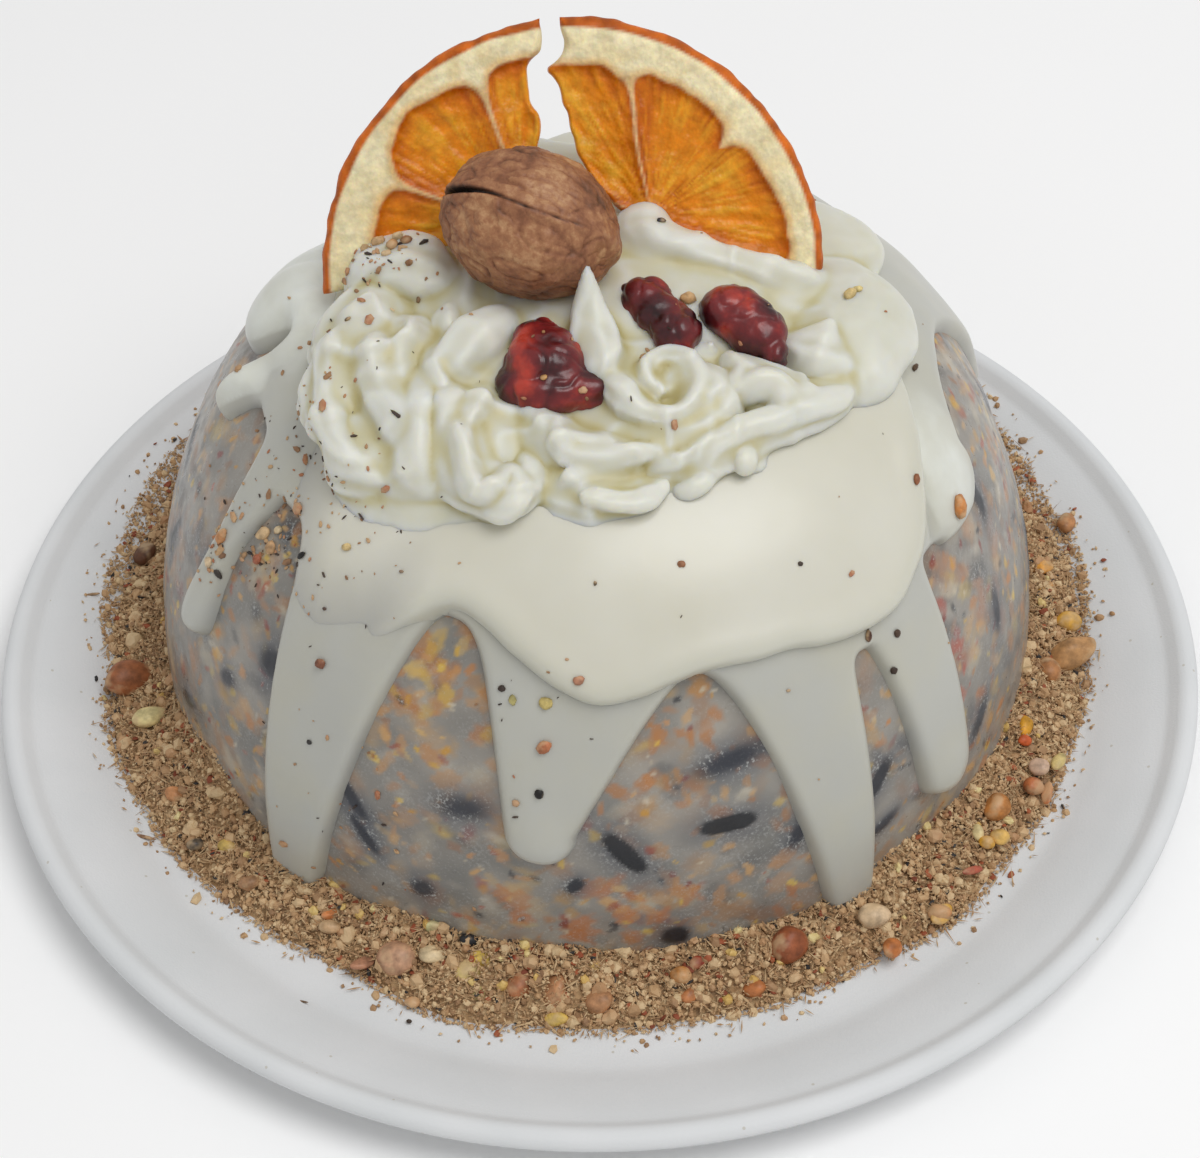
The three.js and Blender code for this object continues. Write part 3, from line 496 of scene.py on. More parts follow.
# Arches of bare cake: angle and length from the top. Drips: angle, half width in degrees, end, slant, and
# how steeply each side falls away from the arch beside it.
ARCHES = [(-92, 57), (-77, 65), (-58.5, 69), (-23, 71), (13.5, 79.5), (39.3, 87), (55.5, 80.5), (89, 68),
          (133, 66), (166, 69), (200, 71), (232, 60)]
DRIPS = [(-86, 2.8, 76, 0, 3, 3), (-63.2, 2.8, 106, -0.06, 5, 3), (-40.8, 3.8, 146, 0, 5.5, 1.65),
         (-7.2, 4.6, 115, 0, 3.1, 1.56), (32, 3.5, 144, 0, 2.05, 8), (48, 4.6, 127.5, 0, 1.5, 6),
         (67.5, 8.5, 84, 0, 3, 2.2), (116, 4.4, 112, 0, 3, 3), (149, 4, 131, 0, 3, 3),
         (184, 4.4, 108, 0, 3, 3), (216, 3.8, 122, 0, 3, 3), (257, 10, 71, 0, 3, 3)]
# Thicker lobes: angle, length from the top, reach, rise. The first three are also whiter.
SWELLS = [(-102, 53, 22, 5.4), (-86, 68, 9, 3.8), (66, 70, 16, 1.8), (88, 46, 20, 1.0)]
LOBES = SWELLS[:3]
# The long drip at the left narrows to a neck and swells to a bulb: angle, length from the top, reach, pinch.
NECK_AT = (-63.2, 84, 9, 0.34)
BULB_AT = (-63.2, 101, 6, -0.22)
PINCH_WIDTH = 7
# Furrows in the lobes at the left: angle, drift with length, and depth.
FURROWS = [(-99, 0.10, 0.9), (-91, 0.16, 0.7), (-107, 0.05, 0.8), (-85, 0.2, 0.6)]
FURROW_WIDTH = 1.7
FURROW_TOP = 26
FURROW_MIDDLE = 50
FURROW_END = (52, 66)
# A cleft parts the drips at the right: angle, lean, width in degrees, depth, and where it fades in and out.
CLEFT_AT = 61.5
CLEFT_LEAN = 0.4
CLEFT_WIDTH = 0.962963
CLEFT_DEPTH = 1.1
CLEFT_TOP = (34, 46)
CLEFT_END = (76, 86)
ICING_CAST = 13.33
ICING_SKIN = 3.846


def hem(angle):
    """How far down the thin icing reaches at an angle: a drip's round tip, or an arch beside it."""
    for k, (start, top_start) in enumerate(ARCHES):
        stop, top_stop = ARCHES[(k + 1) % len(ARCHES)]
        at, half, end, _, left, right = DRIPS[k]
        width = (stop - start) % 360
        turn = (angle - start) % 360
        if turn > width:
            continue
        x = turn - (at - start)
        top = top_start if x < 0 else top_stop
        room = at - start if x < 0 else width - (at - start)
        tip = min(half * float(radius_at(end)) * RAD, (end - top) * TIP_SHARE)
        if abs(x) <= half:
            return end - tip * (1 - math.sqrt(1 - (x / half) ** 2))
        u = (abs(x) - half) / (room - half)
        return top + (end - tip - top) * max(0, 1 - u) ** (left if x < 0 else right)
    return ARCHES[0][1]


def edge_line(edge, spread, seed):
    """An edge as a fine line of (angle, length from the top), with a little unevenness."""
    angles = np.arange(-180, 180, LINE_STEP)
    downs = np.array([edge(a) for a in angles])
    ring = np.stack([80 * np.cos(angles * RAD), 80 * np.sin(angles * RAD), downs], -1)
    return angles, downs + spread * cloud(ring, 9, seed, 2)


def edge_distance(line, turns, downs):
    """Distance in millimetres from each place to an edge, below nought past it."""
    angles, ends = line
    out = np.empty((len(downs), len(turns)))
    per_degree = radius_at(np.maximum(downs, 5))[:, None] * RAD
    limit = np.interp(turns, angles, ends, period=360)
    beside = int(EDGE_REACH / LINE_STEP)
    for j, turn in enumerate(turns):
        middle = int(round((turn + 180) / LINE_STEP))
        pick = np.arange(middle - beside, middle + beside + 1)
        off = (pick - middle) * LINE_STEP + (middle * LINE_STEP - 180 - turn)
        end = ends[pick % len(angles)]
        ax, bx = off[:-1] * per_degree, off[1:] * per_degree
        ay, by = end[:-1] - downs[:, None], end[1:] - downs[:, None]
        dx, dy = bx - ax, by - ay
        along = np.clip(-(ax * dx + ay * dy) / (dx * dx + dy * dy + 1e-12), 0, 1)
        away = np.sqrt(((ax + along * dx) ** 2 + (ay + along * dy) ** 2).min(1))
        out[:, j] = np.minimum(away, EDGE_REACH) * np.where(downs < limit[j], 1, -1)
    return out


def rounded(distance, thick):
    """Height of an icing near its edge: a round lip over it, and a steep drop past it."""
    inside = thick * np.tanh(EDGE_SLOPE * np.maximum(distance, 0) / thick)
    return np.where(distance > 0, inside, np.maximum(EDGE_SLOPE * distance, -EDGE_DROP))


def slanted(turn, down):
    """A drip that runs down at a slant carries the icing near it sideways."""
    shift = np.zeros_like(turn)
    for at, _, end, slant, _, _ in DRIPS:
        if slant:
            near = np.exp(-(turn_from(turn, at) / SLANT_REACH) ** 2)
            shift += slant * near * np.clip(down - SLANT_FROM, 0, end - SLANT_FROM)
    for at, middle, reach, pinch in (NECK_AT, BULB_AT):
        off = turn_from(turn, at)
        shift -= off * pinch * np.exp(-(off / PINCH_WIDTH) ** 2 - ((down - middle) / reach) ** 2)
    return turn + shift


def thin_height(turn, down):
    """Thickness of the thin icing away from its edges."""
    thick = HEM_THICK + CROWN_EXTRA * fade(down, CROWN_REACH, 0)
    for at, centre, reach, rise in SWELLS:
        far = np.hypot(turn_from(turn, at) * RAD * radius_at(down), down - centre) / reach
        thick = thick + rise * np.clip(1 - far * far, 0, 1) ** 2
    return thick


icing_down = np.arange(1.0, ICING_END, ICING_STEP)
icing_turn = np.linspace(-180, 180, ICING_COLUMNS, endpoint=False)
icing_turns, icing_downs = np.meshgrid(icing_turn, icing_down)
per_degree = RAD * radius_at(icing_downs)
hem_line = edge_line(hem, 0.35, 21)
hem_far = edge_distance(hem_line, icing_turn, icing_down)
full = thin_height(icing_turns, icing_downs)
for at, _, end, *_ in DRIPS:
    if BEADED[0] < end < BEADED[1]:
        off = turn_from(icing_turns, at) * per_degree
        up = icing_downs - end + BEAD_BACK
        full = full + TIP_BEAD * np.exp(-(off / BEAD_WIDTH) ** 2 - (up / BEAD_LENGTH) ** 2)
for at, drift, depth in FURROWS:
    off = (icing_turns - at - drift * (icing_downs - FURROW_MIDDLE)) * per_degree
    cut = np.exp(-(off / FURROW_WIDTH) ** 2) * fade(icing_downs, FURROW_END[1], FURROW_END[0])
    full = full - depth * cut * (icing_downs > FURROW_TOP)
off = icing_turns - CLEFT_AT + CLEFT_LEAN * (icing_downs - SLANT_FROM)
cleft = np.exp(-(off / CLEFT_WIDTH) ** 2)
cleft *= fade(icing_downs, *CLEFT_TOP) * fade(icing_downs, CLEFT_END[1], CLEFT_END[0])
surface = over_cake(icing_turns, icing_downs, full).reshape(-1, 3)
flow = (0.22 * cloud(surface * (1, 1, 0.35), 7, 31) + 0.12 * cloud(surface, 15, 32)).reshape(full.shape)
thin_body = rounded(hem_far, full + flow * fade(hem_far, 0, 3) - CLEFT_DEPTH * cleft)


def keep_faces(faces, keep):
    """The points that are used by faces with any corner worth keeping, and those faces."""
    faces = faces[keep.ravel()[faces].any(1)]
    used, index = np.unique(faces, return_inverse=True)
    return used, index.reshape(faces.shape)


# The edge of the ivory pour: angle and length from the top, joined by a smooth closed curve.
POUR_THICK = 2.6
POUR_BEAD = 0.5
THIN_END = -0.3
POUR_START = -140
POUR_EDGE = [(POUR_START, 32), (-104, 30), (-82, 36), (-68, 50), (-58, 68), (-50, 80), (-42, 84), (-34, 80),
             (-28, 74.5), (-22, 69.5), (-17, 70.5), (-10.5, 75.5), (-5, 80), (0.5, 82.5), (8.5, 80.5),
             (17, 79), (22.5, 79.5), (28.5, 80.5), (35, 82), (40, 82.5), (46, 82), (52, 78.5), (56.5, 74),
             (60.5, 68.5), (66, 64), (73, 60), (82, 54), (94, 42), (108, 33), (135, 34), (162, 54),
             (184, 57), (206, 36), (POUR_START + 360, 32)]
FEATHER = (-82, -25)
FEATHER_WIDTH = 10


def smooth_line(points, fine):
    """A smooth curve through points, as many places to each stretch as fine says."""
    points = np.array(points, float)
    before = np.vstack([2 * points[0] - points[1], points, 2 * points[-1] - points[-2]])
    out = []
    for k in range(len(points) - 1):
        a, b, c, d = before[k:k + 4]
        for t in np.linspace(0, 1, fine, endpoint=False):
            out.append(0.5 * (2 * b + (c - a) * t + (2 * a - 5 * b + 4 * c - d) * t ** 2
                              + (3 * b - a - 3 * c + d) * t ** 3))
    out.append(points[-1])
    return np.array(out)


pour_places = smooth_line(POUR_EDGE, 24)


def pour_edge(angle):
    """How far down the pour reaches at an angle."""
    turn = (angle - POUR_START) % 360 + POUR_START
    return float(np.interp(turn, pour_places[:, 0], pour_places[:, 1]))


pour_line = edge_line(pour_edge, 0.5, 23)
pour_far = edge_distance(pour_line, icing_turn, icing_down)
icing_faces = sheet_faces(*icing_turns.shape)
icing_way = slanted(icing_turns, icing_downs)
used, index = keep_faces(icing_faces, (thin_body > -1.2) & (pour_far < 5))
thin_points = over_cake(icing_way, icing_downs, thin_body)

# White fat that sets as it runs is satin, and where it is thin the dark cake shows through and greys it.
icing_fat, tree, bsdf, where = finish(
    "white icing fat, poured and set", Roughness=0.34, IOR=1.46, Subsurface_Weight=0.35,
    Subsurface_Scale=2.2 * MM, Subsurface_Radius=(1.0, 0.95, 0.78), Coat_Weight=0.12, Coat_Roughness=0.3)
depth = node(tree, "Attribute", attribute_name="depth").outputs["Fac"]
cast = node(tree, "TexNoise", {"Vector": where, "Scale": scale_for(ICING_CAST), "Detail": 4.0})
veil = node(tree, "ValToRGB", {"Fac": depth},
            stops=((0.0, "#959590"), (0.4, "#b0b0a9"), (0.72, "#babab2"), (1.0, "#e6e9e2")))
tint = node(tree, "MapRange", {0: cast.outputs["Fac"], 1: 0.38, 2: 0.66, 3: 0.0, 4: 0.5})
warm = node(tree, "Mix", {0: tint.outputs[0], 6: veil.outputs["Color"], 7: tone("#bbb8a6")},
            data_type="RGBA")
skin = node(tree, "TexNoise", {"Vector": where, "Scale": scale_for(ICING_SKIN), "Detail": 3.0})
satin = node(tree, "Bump", {"Height": skin.outputs["Fac"], "Strength": 0.22, "Distance": 0.4 * MM})
fill(tree, bsdf, {"Base Color": warm.outputs[2], "Normal": satin.outputs[0]})
drips = made_of("thin_icing", thin_points.reshape(-1, 3)[used], index, icing_fat)
lobe = np.zeros_like(full)
for at, centre, reach, _ in LOBES:
    off = turn_from(icing_turns, at) * per_degree
    lobe = np.maximum(lobe, np.clip(1.5 - 1.3 * np.hypot(off, icing_downs - centre) / reach, 0, 1))
crown = fade(icing_downs, 72, 42)
cover = fade(thin_body, 0, 3) * (0.66 + 0.1 * crown + 0.26 * lobe)
note(drips, "depth", cover.ravel()[used])
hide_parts("icing_drips")
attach(drips, "root")


# ---- ivory pour ------------------------------------------------------------------------------------
# A second, thicker coat of ivory fat, poured over the crown when the first had set. It ends over the
# front in a swollen round lip, thins away at the left, and is smooth as poured wax.
LIP_AT = 3.4
LIP_WIDTH = 2.6
POUR_CAST = 26.32
POUR_SKIN = 3.333

feather = eased(fade(np.minimum(icing_turns - FEATHER[0], FEATHER[1] - icing_turns), 0, FEATHER_WIDTH))
lip_swell = POUR_BEAD * np.exp(-((pour_far - LIP_AT) / LIP_WIDTH) ** 2)
pool = (0.3 * cloud(surface, 22, 41) + 0.08 * cloud(surface, 8, 42)).reshape(full.shape)
pour_full = POUR_THICK + pool * fade(pour_far, 0, 6) + lip_swell
shallow = POUR_THICK * eased(fade(pour_far, 0, EDGE_REACH))
lip = rounded(pour_far, pour_full)
lip += (shallow + THIN_END - lip) * feather
bed = thin_height(icing_turns, icing_downs) * (hem_far > 0)
bed += (np.maximum(thin_body, 0) - bed) * feather
used, index = keep_faces(icing_faces, pour_far > -1.1)
pour_points = over_cake(icing_way, icing_downs, bed + lip)

# Ivory fat poured thick hides what is under it: creamy and waxy, cooler at its rim and where it thins.
ivory_fat, tree, bsdf, where = finish(
    "ivory fat, poured thick", Roughness=0.3, IOR=1.46, Subsurface_Weight=0.35,
    Subsurface_Scale=2.6 * MM, Subsurface_Radius=(1.0, 0.9, 0.6), Coat_Weight=0.15, Coat_Roughness=0.28)
cast = node(tree, "TexNoise", {"Vector": where, "Scale": scale_for(POUR_CAST), "Detail": 3.0})
ivory = node(tree, "ValToRGB", {"Fac": cast.outputs["Fac"]}, stops=((0.3, "#cbc8b8"), (0.7, "#d3d1c5")))
rim = node(tree, "Attribute", attribute_name="rim").outputs["Fac"]
cooled = node(tree, "Mix", {0: rim, 6: ivory.outputs["Color"], 7: tone("#c0c0b2")}, data_type="RGBA")
ebb = node(tree, "Attribute", attribute_name="ebb").outputs["Fac"]
thinned = node(tree, "Mix", {0: ebb, 6: cooled.outputs[2], 7: tone("#b1b0a8")}, data_type="RGBA")
skin = node(tree, "TexNoise", {"Vector": where, "Scale": scale_for(POUR_SKIN), "Detail": 2.0})
satin = node(tree, "Bump", {"Height": skin.outputs["Fac"], "Strength": 0.08, "Distance": 0.3 * MM})
fill(tree, bsdf, {"Base Color": thinned.outputs[2], "Normal": satin.outputs[0]})
pour = made_of("ivory_pour", pour_points.reshape(-1, 3)[used], index, ivory_fat)
cool_rim = 0.8 * fade(pour_far, 7, 0) ** 1.5 * (1 - feather)
thin_end = np.clip(1.25 * (1 - pour_far / EDGE_REACH), 0, 1) * feather
note(pour, "rim", cool_rim.ravel()[used])
note(pour, "ebb", thin_end.ravel()[used])
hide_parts("icing_pour")
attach(pour, "root")


# ---- piped cream -----------------------------------------------------------------------------------
# Fat whipped with air until it holds a peak, piped in short strokes from a star nozzle over low heaps.
# It is ivory, a little glossy and softly ribbed along each stroke, with painted yellow shade down in its
# folds and painted highlight on its crests.
STROKE_AROUND = 48
STROKE_WIDE = 1.16
STROKE_SINK = 0.7
TAPER = 0.35
RIB_DEPTH = 0.07
CREST = 0.3
CREAM_VOXEL = 0.56
CREAM_TOP = 106
CREAM_FOOT = 80
CREAM_CAST = 11.11
BUBBLE = 1.4286
# Heaps that carry the rest: middle and half sizes.
HEAPS = [((-2, 13, 82), (45, 40, 17.5)), ((43, 5, 84), (14, 18, 8.6)), ((40, 27, 82.5), (13, 14, 6.8)),
         ((-6, 42, 84), (25, 12, 11.4)), ((-37, 26, 82.6), (12.5, 15, 6.4)), ((-22, -17, 82), (24, 18, 11)),
         ((5, -19, 82), (27, 14.5, 10.4)), ((9, 17.5, 98.6), (5, 4.2, 4.4)), ((-37, -2, 84), (12, 21, 11)),
         ((30, 10, 88), (14, 9, 6.5)), ((-18, -17, 78), (29, 24, 8.6)), ((8, -18, 79), (28, 20, 7))]
# Strokes of the nozzle: points on the middle line, and the radius at each.
STROKES = [
    ([(5, 16, 99.5), (12, 13.5, 97), (21, 11.5, 94), (31, 10, 91.5), (40, 8, 89)], (4.6, 5, 5, 5, 4.4)),
    ([(0, -18, 90), (0.5, -11, 95), (-0.6, -5.5, 101), (-1.3, -2.4, 108.4)], (6.4, 5.2, 2.8, 0.4)),
    ([(5, -4, 93), (5.4, -14, 91.5), (6.6, -22, 90), (11, -26, 89), (17.5, -25, 89.5), (20.4, -20, 91.5),
      (16, -16, 93), (11.6, -19.5, 93.2)], (4.6, 4.6, 4.4, 4.2, 4.2, 4, 3.2, 1.6)),
    ([(-23, -16, 91.5), (-24, -26, 89), (-22, -33, 86.6), (-16.5, -36.6, 86), (-11, -33.6, 87.6),
      (-12.6, -29.6, 89)], (4.8, 4.8, 4.4, 4, 3, 1)),
    ([(-36, 8, 91.5), (-43.4, -8, 88), (-44.5, -22, 84.6)], (8, 7, 4.8)),
    ([(-31, 0, 93), (-35.2, -12.5, 90.2), (-34, -24, 86)], (6, 5.4, 3.8)),
    ([(-44, -18, 84.2), (-39, -25.6, 84), (-31.6, -29, 84.6)], (5.4, 5.8, 4.4)),
    ([(-15, -2, 94.5), (-22, -9, 93.6), (-28.4, -18, 91)], (5.8, 5.6, 3.6)),
    ([(-28.4, -12, 91.4), (-30, -24, 88.4), (-28.6, -33, 85)], (4.8, 5, 3.4)),
    ([(-13, -21, 90), (-6, -27, 88), (2, -29.6, 87.4), (9.4, -29.6, 87.4)], (5, 5, 4.2, 2.4)),
    ([(-10, -32, 84), (0, -35.6, 83.2), (8, -34.4, 83.6), (14.4, -31, 85)], (5, 4.6, 3.8, 1.4)),
    ([(8.6, -27, 87.6), (17, -29.4, 87), (28, -23.4, 87.4), (37, -16, 86.8), (44, -9, 86.6)],
     (2.4, 3, 3.2, 3.4, 3)),
    ([(22, -10, 91), (29, -16, 89.6), (36.6, -13.6, 87.6)], (4.6, 5, 3.6)),
    ([(-43, 9, 90.6), (-34.6, 10.6, 95.2), (-24, 7.6, 97)], (4.4, 5.6, 5.4)),
    ([(33, -4, 90.6), (39.6, -7, 88.6), (45, -4, 87)], (5, 5.2, 4)),
    ([(16, -32.4, 84.6), (20, -31, 85)], (2.2, 1.8)),
    ([(25, -28.6, 84.4), (28.4, -26.4, 85)], (2.2, 1.6)),
]
# Thin ribbons and curls that the nozzle left on top of the strokes.
CURLS = [
    ([(2.5, -14.5, 95.5), (3.5, -19.5, 94.5), (6, -23.5, 93.5), (10.5, -25, 93), (15, -23, 93.5),
      (17.5, -19, 95), (16, -14.5, 96), (12, -13.5, 96), (9.5, -16.5, 95), (10.5, -19.5, 94.5),
      (13, -19, 94.5)], (2, 2.6, 2.6, 2.4, 2.2, 2.1, 2, 1.8, 1.6, 1.5, 1)),
    ([(-23.5, -26.5, 93.5), (-23, -30.5, 91.5), (-22, -34.5, 89.5), (-20, -37.5, 88.5),
      (-17, -37, 89), (-14.5, -34.5, 89), (-12.5, -36.5, 89), (-13.5, -39, 88),
      (-16, -40.5, 86), (-19.5, -39, 86)], (2.6, 2.6, 2.6, 2.4, 2.2, 2, 2, 1.9, 1.7, 1)),
    ([(-7, -25, 93.5), (-5.5, -29, 93), (-3.5, -31.5, 91), (1.5, -32, 90.5), (6.5, -31, 90.5),
      (11.5, -30, 90)], (1.4, 1.8, 2, 2, 1.8, 1)),
    ([(8.5, -31, 88), (14, -31, 89.5), (20, -28.5, 90.5), (25.5, -25.5, 91),
      (31, -23, 90.5), (37, -19, 90), (41, -15.5, 89), (43.5, -12, 88)],
     (1.2, 1.6, 1.9, 1.9, 1.9, 1.9, 1.7, 1)),
    ([(24.5, -16.5, 95), (25, -18.5, 93), (29.5, -18.5, 94), (33, -19.5, 91.5),
      (38, -16.5, 90)], (2.2, 2.4, 2.4, 2.4, 1.4)),
    ([(-37, -6.5, 96), (-37.5, -11.5, 94.5), (-36.5, -17, 92), (-34, -23, 91),
      (-32.5, -27.5, 90.5)], (2.2, 2.8, 3.2, 3.2, 2.4)),
    ([(-43.5, -5, 96), (-45.5, -10, 93), (-46, -16.5, 91), (-44.5, -22, 88),
      (-41.5, -27, 87.5), (-36.5, -29, 87)], (2.4, 2.6, 2.6, 2.6, 2.4, 1.4)),
    ([(-24.5, 0.5, 96.5), (-26.5, -5, 94), (-27, -14.5, 95.5), (-25, -19.5, 94.5)],
     (2.4, 2.4, 2.2, 1.4)),
    ([(-18.5, -18, 92.5), (-21, -23, 93), (-22, -27.5, 92.5)], (2, 2.4, 2.2)),
    ([(-2, -38.5, 89), (4, -39, 87.5), (8.5, -37, 87), (12.5, -33.5, 87)], (1.4, 2, 2, 1.2)),
    ([(25, -30.5, 86), (25, -29, 87.5), (25.5, -27.5, 89)], (1.2, 1.6, 1.2)),
    ([(14.5, -34, 85), (17.5, -33.5, 86), (20.5, -32, 86.5)], (1, 1.5, 1)),
    ([(-6, -36, 89), (-1, -33.5, 89), (5, -33, 88)], (1.2, 1.6, 1.2)),
    ([(19, -10, 93.5), (19.5, -10, 95)], (2.4, 2)),
]


def closed_rings(rings, start, end):
    """A closed mesh of triangles over rings of points, drawn together on a point at each end."""
    rows, n = rings.shape[:2]
    quads = sheet_faces(rows, n)
    points = np.vstack([rings.reshape(-1, 3), start, end])
    k = np.arange(n)
    after = (k + 1) % n
    first = np.stack([np.full(n, rows * n), k, after], -1)
    last = np.stack([np.full(n, rows * n + 1), (rows - 1) * n + after, (rows - 1) * n + k], -1)
    return points, np.vstack([quads[:, :3], quads[:, [0, 2, 3]], first, last])


def stroke(line, radii, phase):
    """One piped stroke along a smooth line: a raised crest, soft uneven ribs, round at both ends."""
    line = smooth_line(line, 12)
    reach = smooth_line([(r, 0) for r in radii], 12)[:, 0]
    run = np.concatenate([[0], np.cumsum(np.linalg.norm(np.diff(line, axis=0), axis=1))])
    way = np.gradient(line, axis=0)
    way /= np.linalg.norm(way, axis=1)[:, None]
    rings = []
    theta = np.linspace(0, 2 * np.pi, STROKE_AROUND, endpoint=False)
    for k, place in enumerate(line):
        side = np.cross(way[k], (0, 0.35, 1.0))
        side /= np.linalg.norm(side)
        up = np.cross(side, way[k])
        near = min(run[k] + 0.25 * reach[k], run[-1] - run[k] + 0.1 * reach[k]) / (1.5 * reach[k] + 1e-6)
        size = max(reach[k], 0.05) * math.sqrt(1 - (1 - min(near, 1)) ** 2)
        # Uneven ribs of the star nozzle: four broad ones, and seven and eleven finer ones.
        ripple = (np.cos(4 * theta + phase + 0.05 * run[k])
                  + 0.8 * np.cos(7 * theta - 2.3 * phase + 0.09 * run[k])
                  + 0.5 * np.cos(11 * theta + 3.1 * phase - 0.08 * run[k])) / 1.5
        crest = np.maximum(np.sin(theta + 0.5 * math.sin(phase + run[k] / 9)), 0) ** 4
        radius = size * (0.88 + CREST * crest + RIB_DEPTH * ripple)
        across = np.outer(radius * np.cos(theta) * STROKE_WIDE, side)
        rings.append(place - (0, 0, STROKE_SINK) + across + np.outer(radius * np.sin(theta), up))
    start = line[0] - way[0] * reach[0] * TAPER
    end = line[-1] + way[-1] * reach[-1] * TAPER
    return closed_rings(np.array(rings), start, end)


def ball(middle, half, around=48, rows=24):
    """A closed ellipsoid."""
    down = np.linspace(0, np.pi, rows + 2)[1:-1]
    theta = np.linspace(0, 2 * np.pi, around, endpoint=False)
    rings = np.stack([np.outer(np.sin(down), np.cos(theta)), np.outer(np.sin(down), np.sin(theta)),
                      np.repeat(np.cos(down)[:, None], around, 1)], -1)
    rings = rings * np.array(half) + np.array(middle)
    return closed_rings(rings, np.array(middle) + (0, 0, half[2]), np.array(middle) - (0, 0, half[2]))


def joined(shells):
    """Several meshes as one list of points and one of faces."""
    base = np.cumsum([0] + [len(points) for points, _ in shells])
    return (np.vstack([points for points, _ in shells]),
            np.vstack([faces + base[k] for k, (_, faces) in enumerate(shells)]))


def melted(name, shells, voxel, material, rounds):
    """The union of closed shells as one skin: remeshed in small cubes, then smoothed."""
    made = made_of(name, *joined(shells), material)
    remesh = made.modifiers.new("remesh", "REMESH")
    remesh.mode = "VOXEL"
    remesh.voxel_size = voxel * MM
    remesh.use_smooth_shade = True
    smooth = made.modifiers.new("smooth", "SMOOTH")
    smooth.factor = 0.5
    smooth.iterations = rounds
    result = bpy.data.meshes.new_from_object(made.evaluated_get(bpy.context.evaluated_depsgraph_get()))
    made.modifiers.clear()
    made.data = result
    result.polygons.foreach_set("use_smooth", np.full(len(result.polygons), True))
    if not result.materials:
        result.materials.append(material)
    return made


def points_of(made):
    """A mesh's points in millimetres and their normals."""
    count = len(made.data.vertices)
    places = np.empty(count * 3, np.float32)
    made.data.vertices.foreach_get("co", places)
    normals = np.empty(count * 3, np.float32)
    made.data.vertices.foreach_get("normal", normals)
    return places.reshape(-1, 3) / MM, normals.reshape(-1, 3)


def move_points(made, points):
    """Puts a mesh's points at new places, in millimetres."""
    made.data.vertices.foreach_set("co", (points * MM).astype(np.float32).ravel())
    made.data.update()


def neighbour_mean(made, values, rounds):
    """Values at a mesh's points, spread over their neighbours."""
    pairs = np.empty(len(made.data.edges) * 2, np.int32)
    made.data.edges.foreach_get("vertices", pairs)
    a, b = pairs.reshape(-1, 2).T
    count = np.maximum(np.bincount(pairs, minlength=len(values)), 1)
    wide = values.reshape(len(values), -1).astype(float)
    for _ in range(rounds):
        total = np.stack([np.bincount(a, wide[b, k], len(wide)) + np.bincount(b, wide[a, k], len(wide))
                          for k in range(wide.shape[1])], -1)
        wide = 0.5 * wide + 0.5 * total / count[:, None]
    return wide.reshape(values.shape)


def hollowness(made, rounds):
    """How far each point lies down in a fold: above nought in hollows, below it on ridges."""
    points, normals = points_of(made)
    return ((neighbour_mean(made, points, rounds) - points) * normals).sum(1)


def lifted(made, height):
    """Moves each point of a mesh out along its normal."""
    points, normals = points_of(made)
    move_points(made, points + normals * height[:, None])


def filled(made, rounds, share):
    """Lets the bottoms of the folds rise, and leaves the crests where they stand."""
    for _ in range(rounds):
        lifted(made, share * np.maximum(hollowness(made, 2), 0))


def crested(made, rounds, share):
    """Draws the crests up thinner and sharper."""
    rise = np.maximum(-hollowness(made, rounds) - 0.05, 0)
    lifted(made, neighbour_mean(made, share * rise, 2))


def wandering(places, size, seed):
    """A random push at each place, in all three directions."""
    return np.stack([cloud(places, size, seed + axis) for axis in range(3)], -1)


# Whipped fat is full of air and light goes far into it. Its colour paints yellow shade down in the deep
# folds and paler highlight on the crests. Its bubbles are too fine to show, so the grain is drawn a
# millimetre and a half across.
whipped_fat, tree, bsdf, where = finish(
    "whipped ivory fat, piped", Roughness=0.42, IOR=1.46, Subsurface_Weight=0.75,
    Subsurface_Scale=4 * MM, Subsurface_Radius=(1.0, 0.84, 0.46), Coat_Weight=0.1, Coat_Roughness=0.35)
# The fold value carries painted shade, yellow down the folds, and painted highlight, whiter on the crests.
fold = node(tree, "Attribute", attribute_name="fold").outputs["Fac"]
creamy = node(tree, "ValToRGB", {"Fac": fold},
              stops=((0.0, "#d5d6cf"), (0.3, "#cccbbb"), (0.56, "#c8c29f"), (1.0, "#b9ac74")))
cast = node(tree, "TexNoise", {"Vector": where, "Scale": scale_for(CREAM_CAST), "Detail": 3.0})
drift = node(tree, "MapRange", {0: cast.outputs["Fac"], 1: 0.4, 2: 0.75, 3: 0.0, 4: 0.25})
mixed = node(tree, "Mix", {0: drift.outputs[0], 6: creamy.outputs["Color"], 7: tone("#c8c2a4")},
             data_type="RGBA")
bubbles = node(tree, "TexNoise", {"Vector": where, "Scale": scale_for(BUBBLE), "Detail": 3.0})
whipped = node(tree, "Bump", {"Height": bubbles.outputs["Fac"], "Strength": 0.15, "Distance": 0.2 * MM})
fill(tree, bsdf, {"Base Color": mixed.outputs[2], "Normal": whipped.outputs[0]})

shells = [ball(middle, half) for middle, half in HEAPS]
shells += [stroke(line, radii, 0.7 * k) for k, (line, radii) in enumerate(STROKES + CURLS)]
cream = melted("whipped_cream", shells, CREAM_VOXEL, whipped_fat, 5)
places, normals = points_of(cream)
x, y, z = places.T
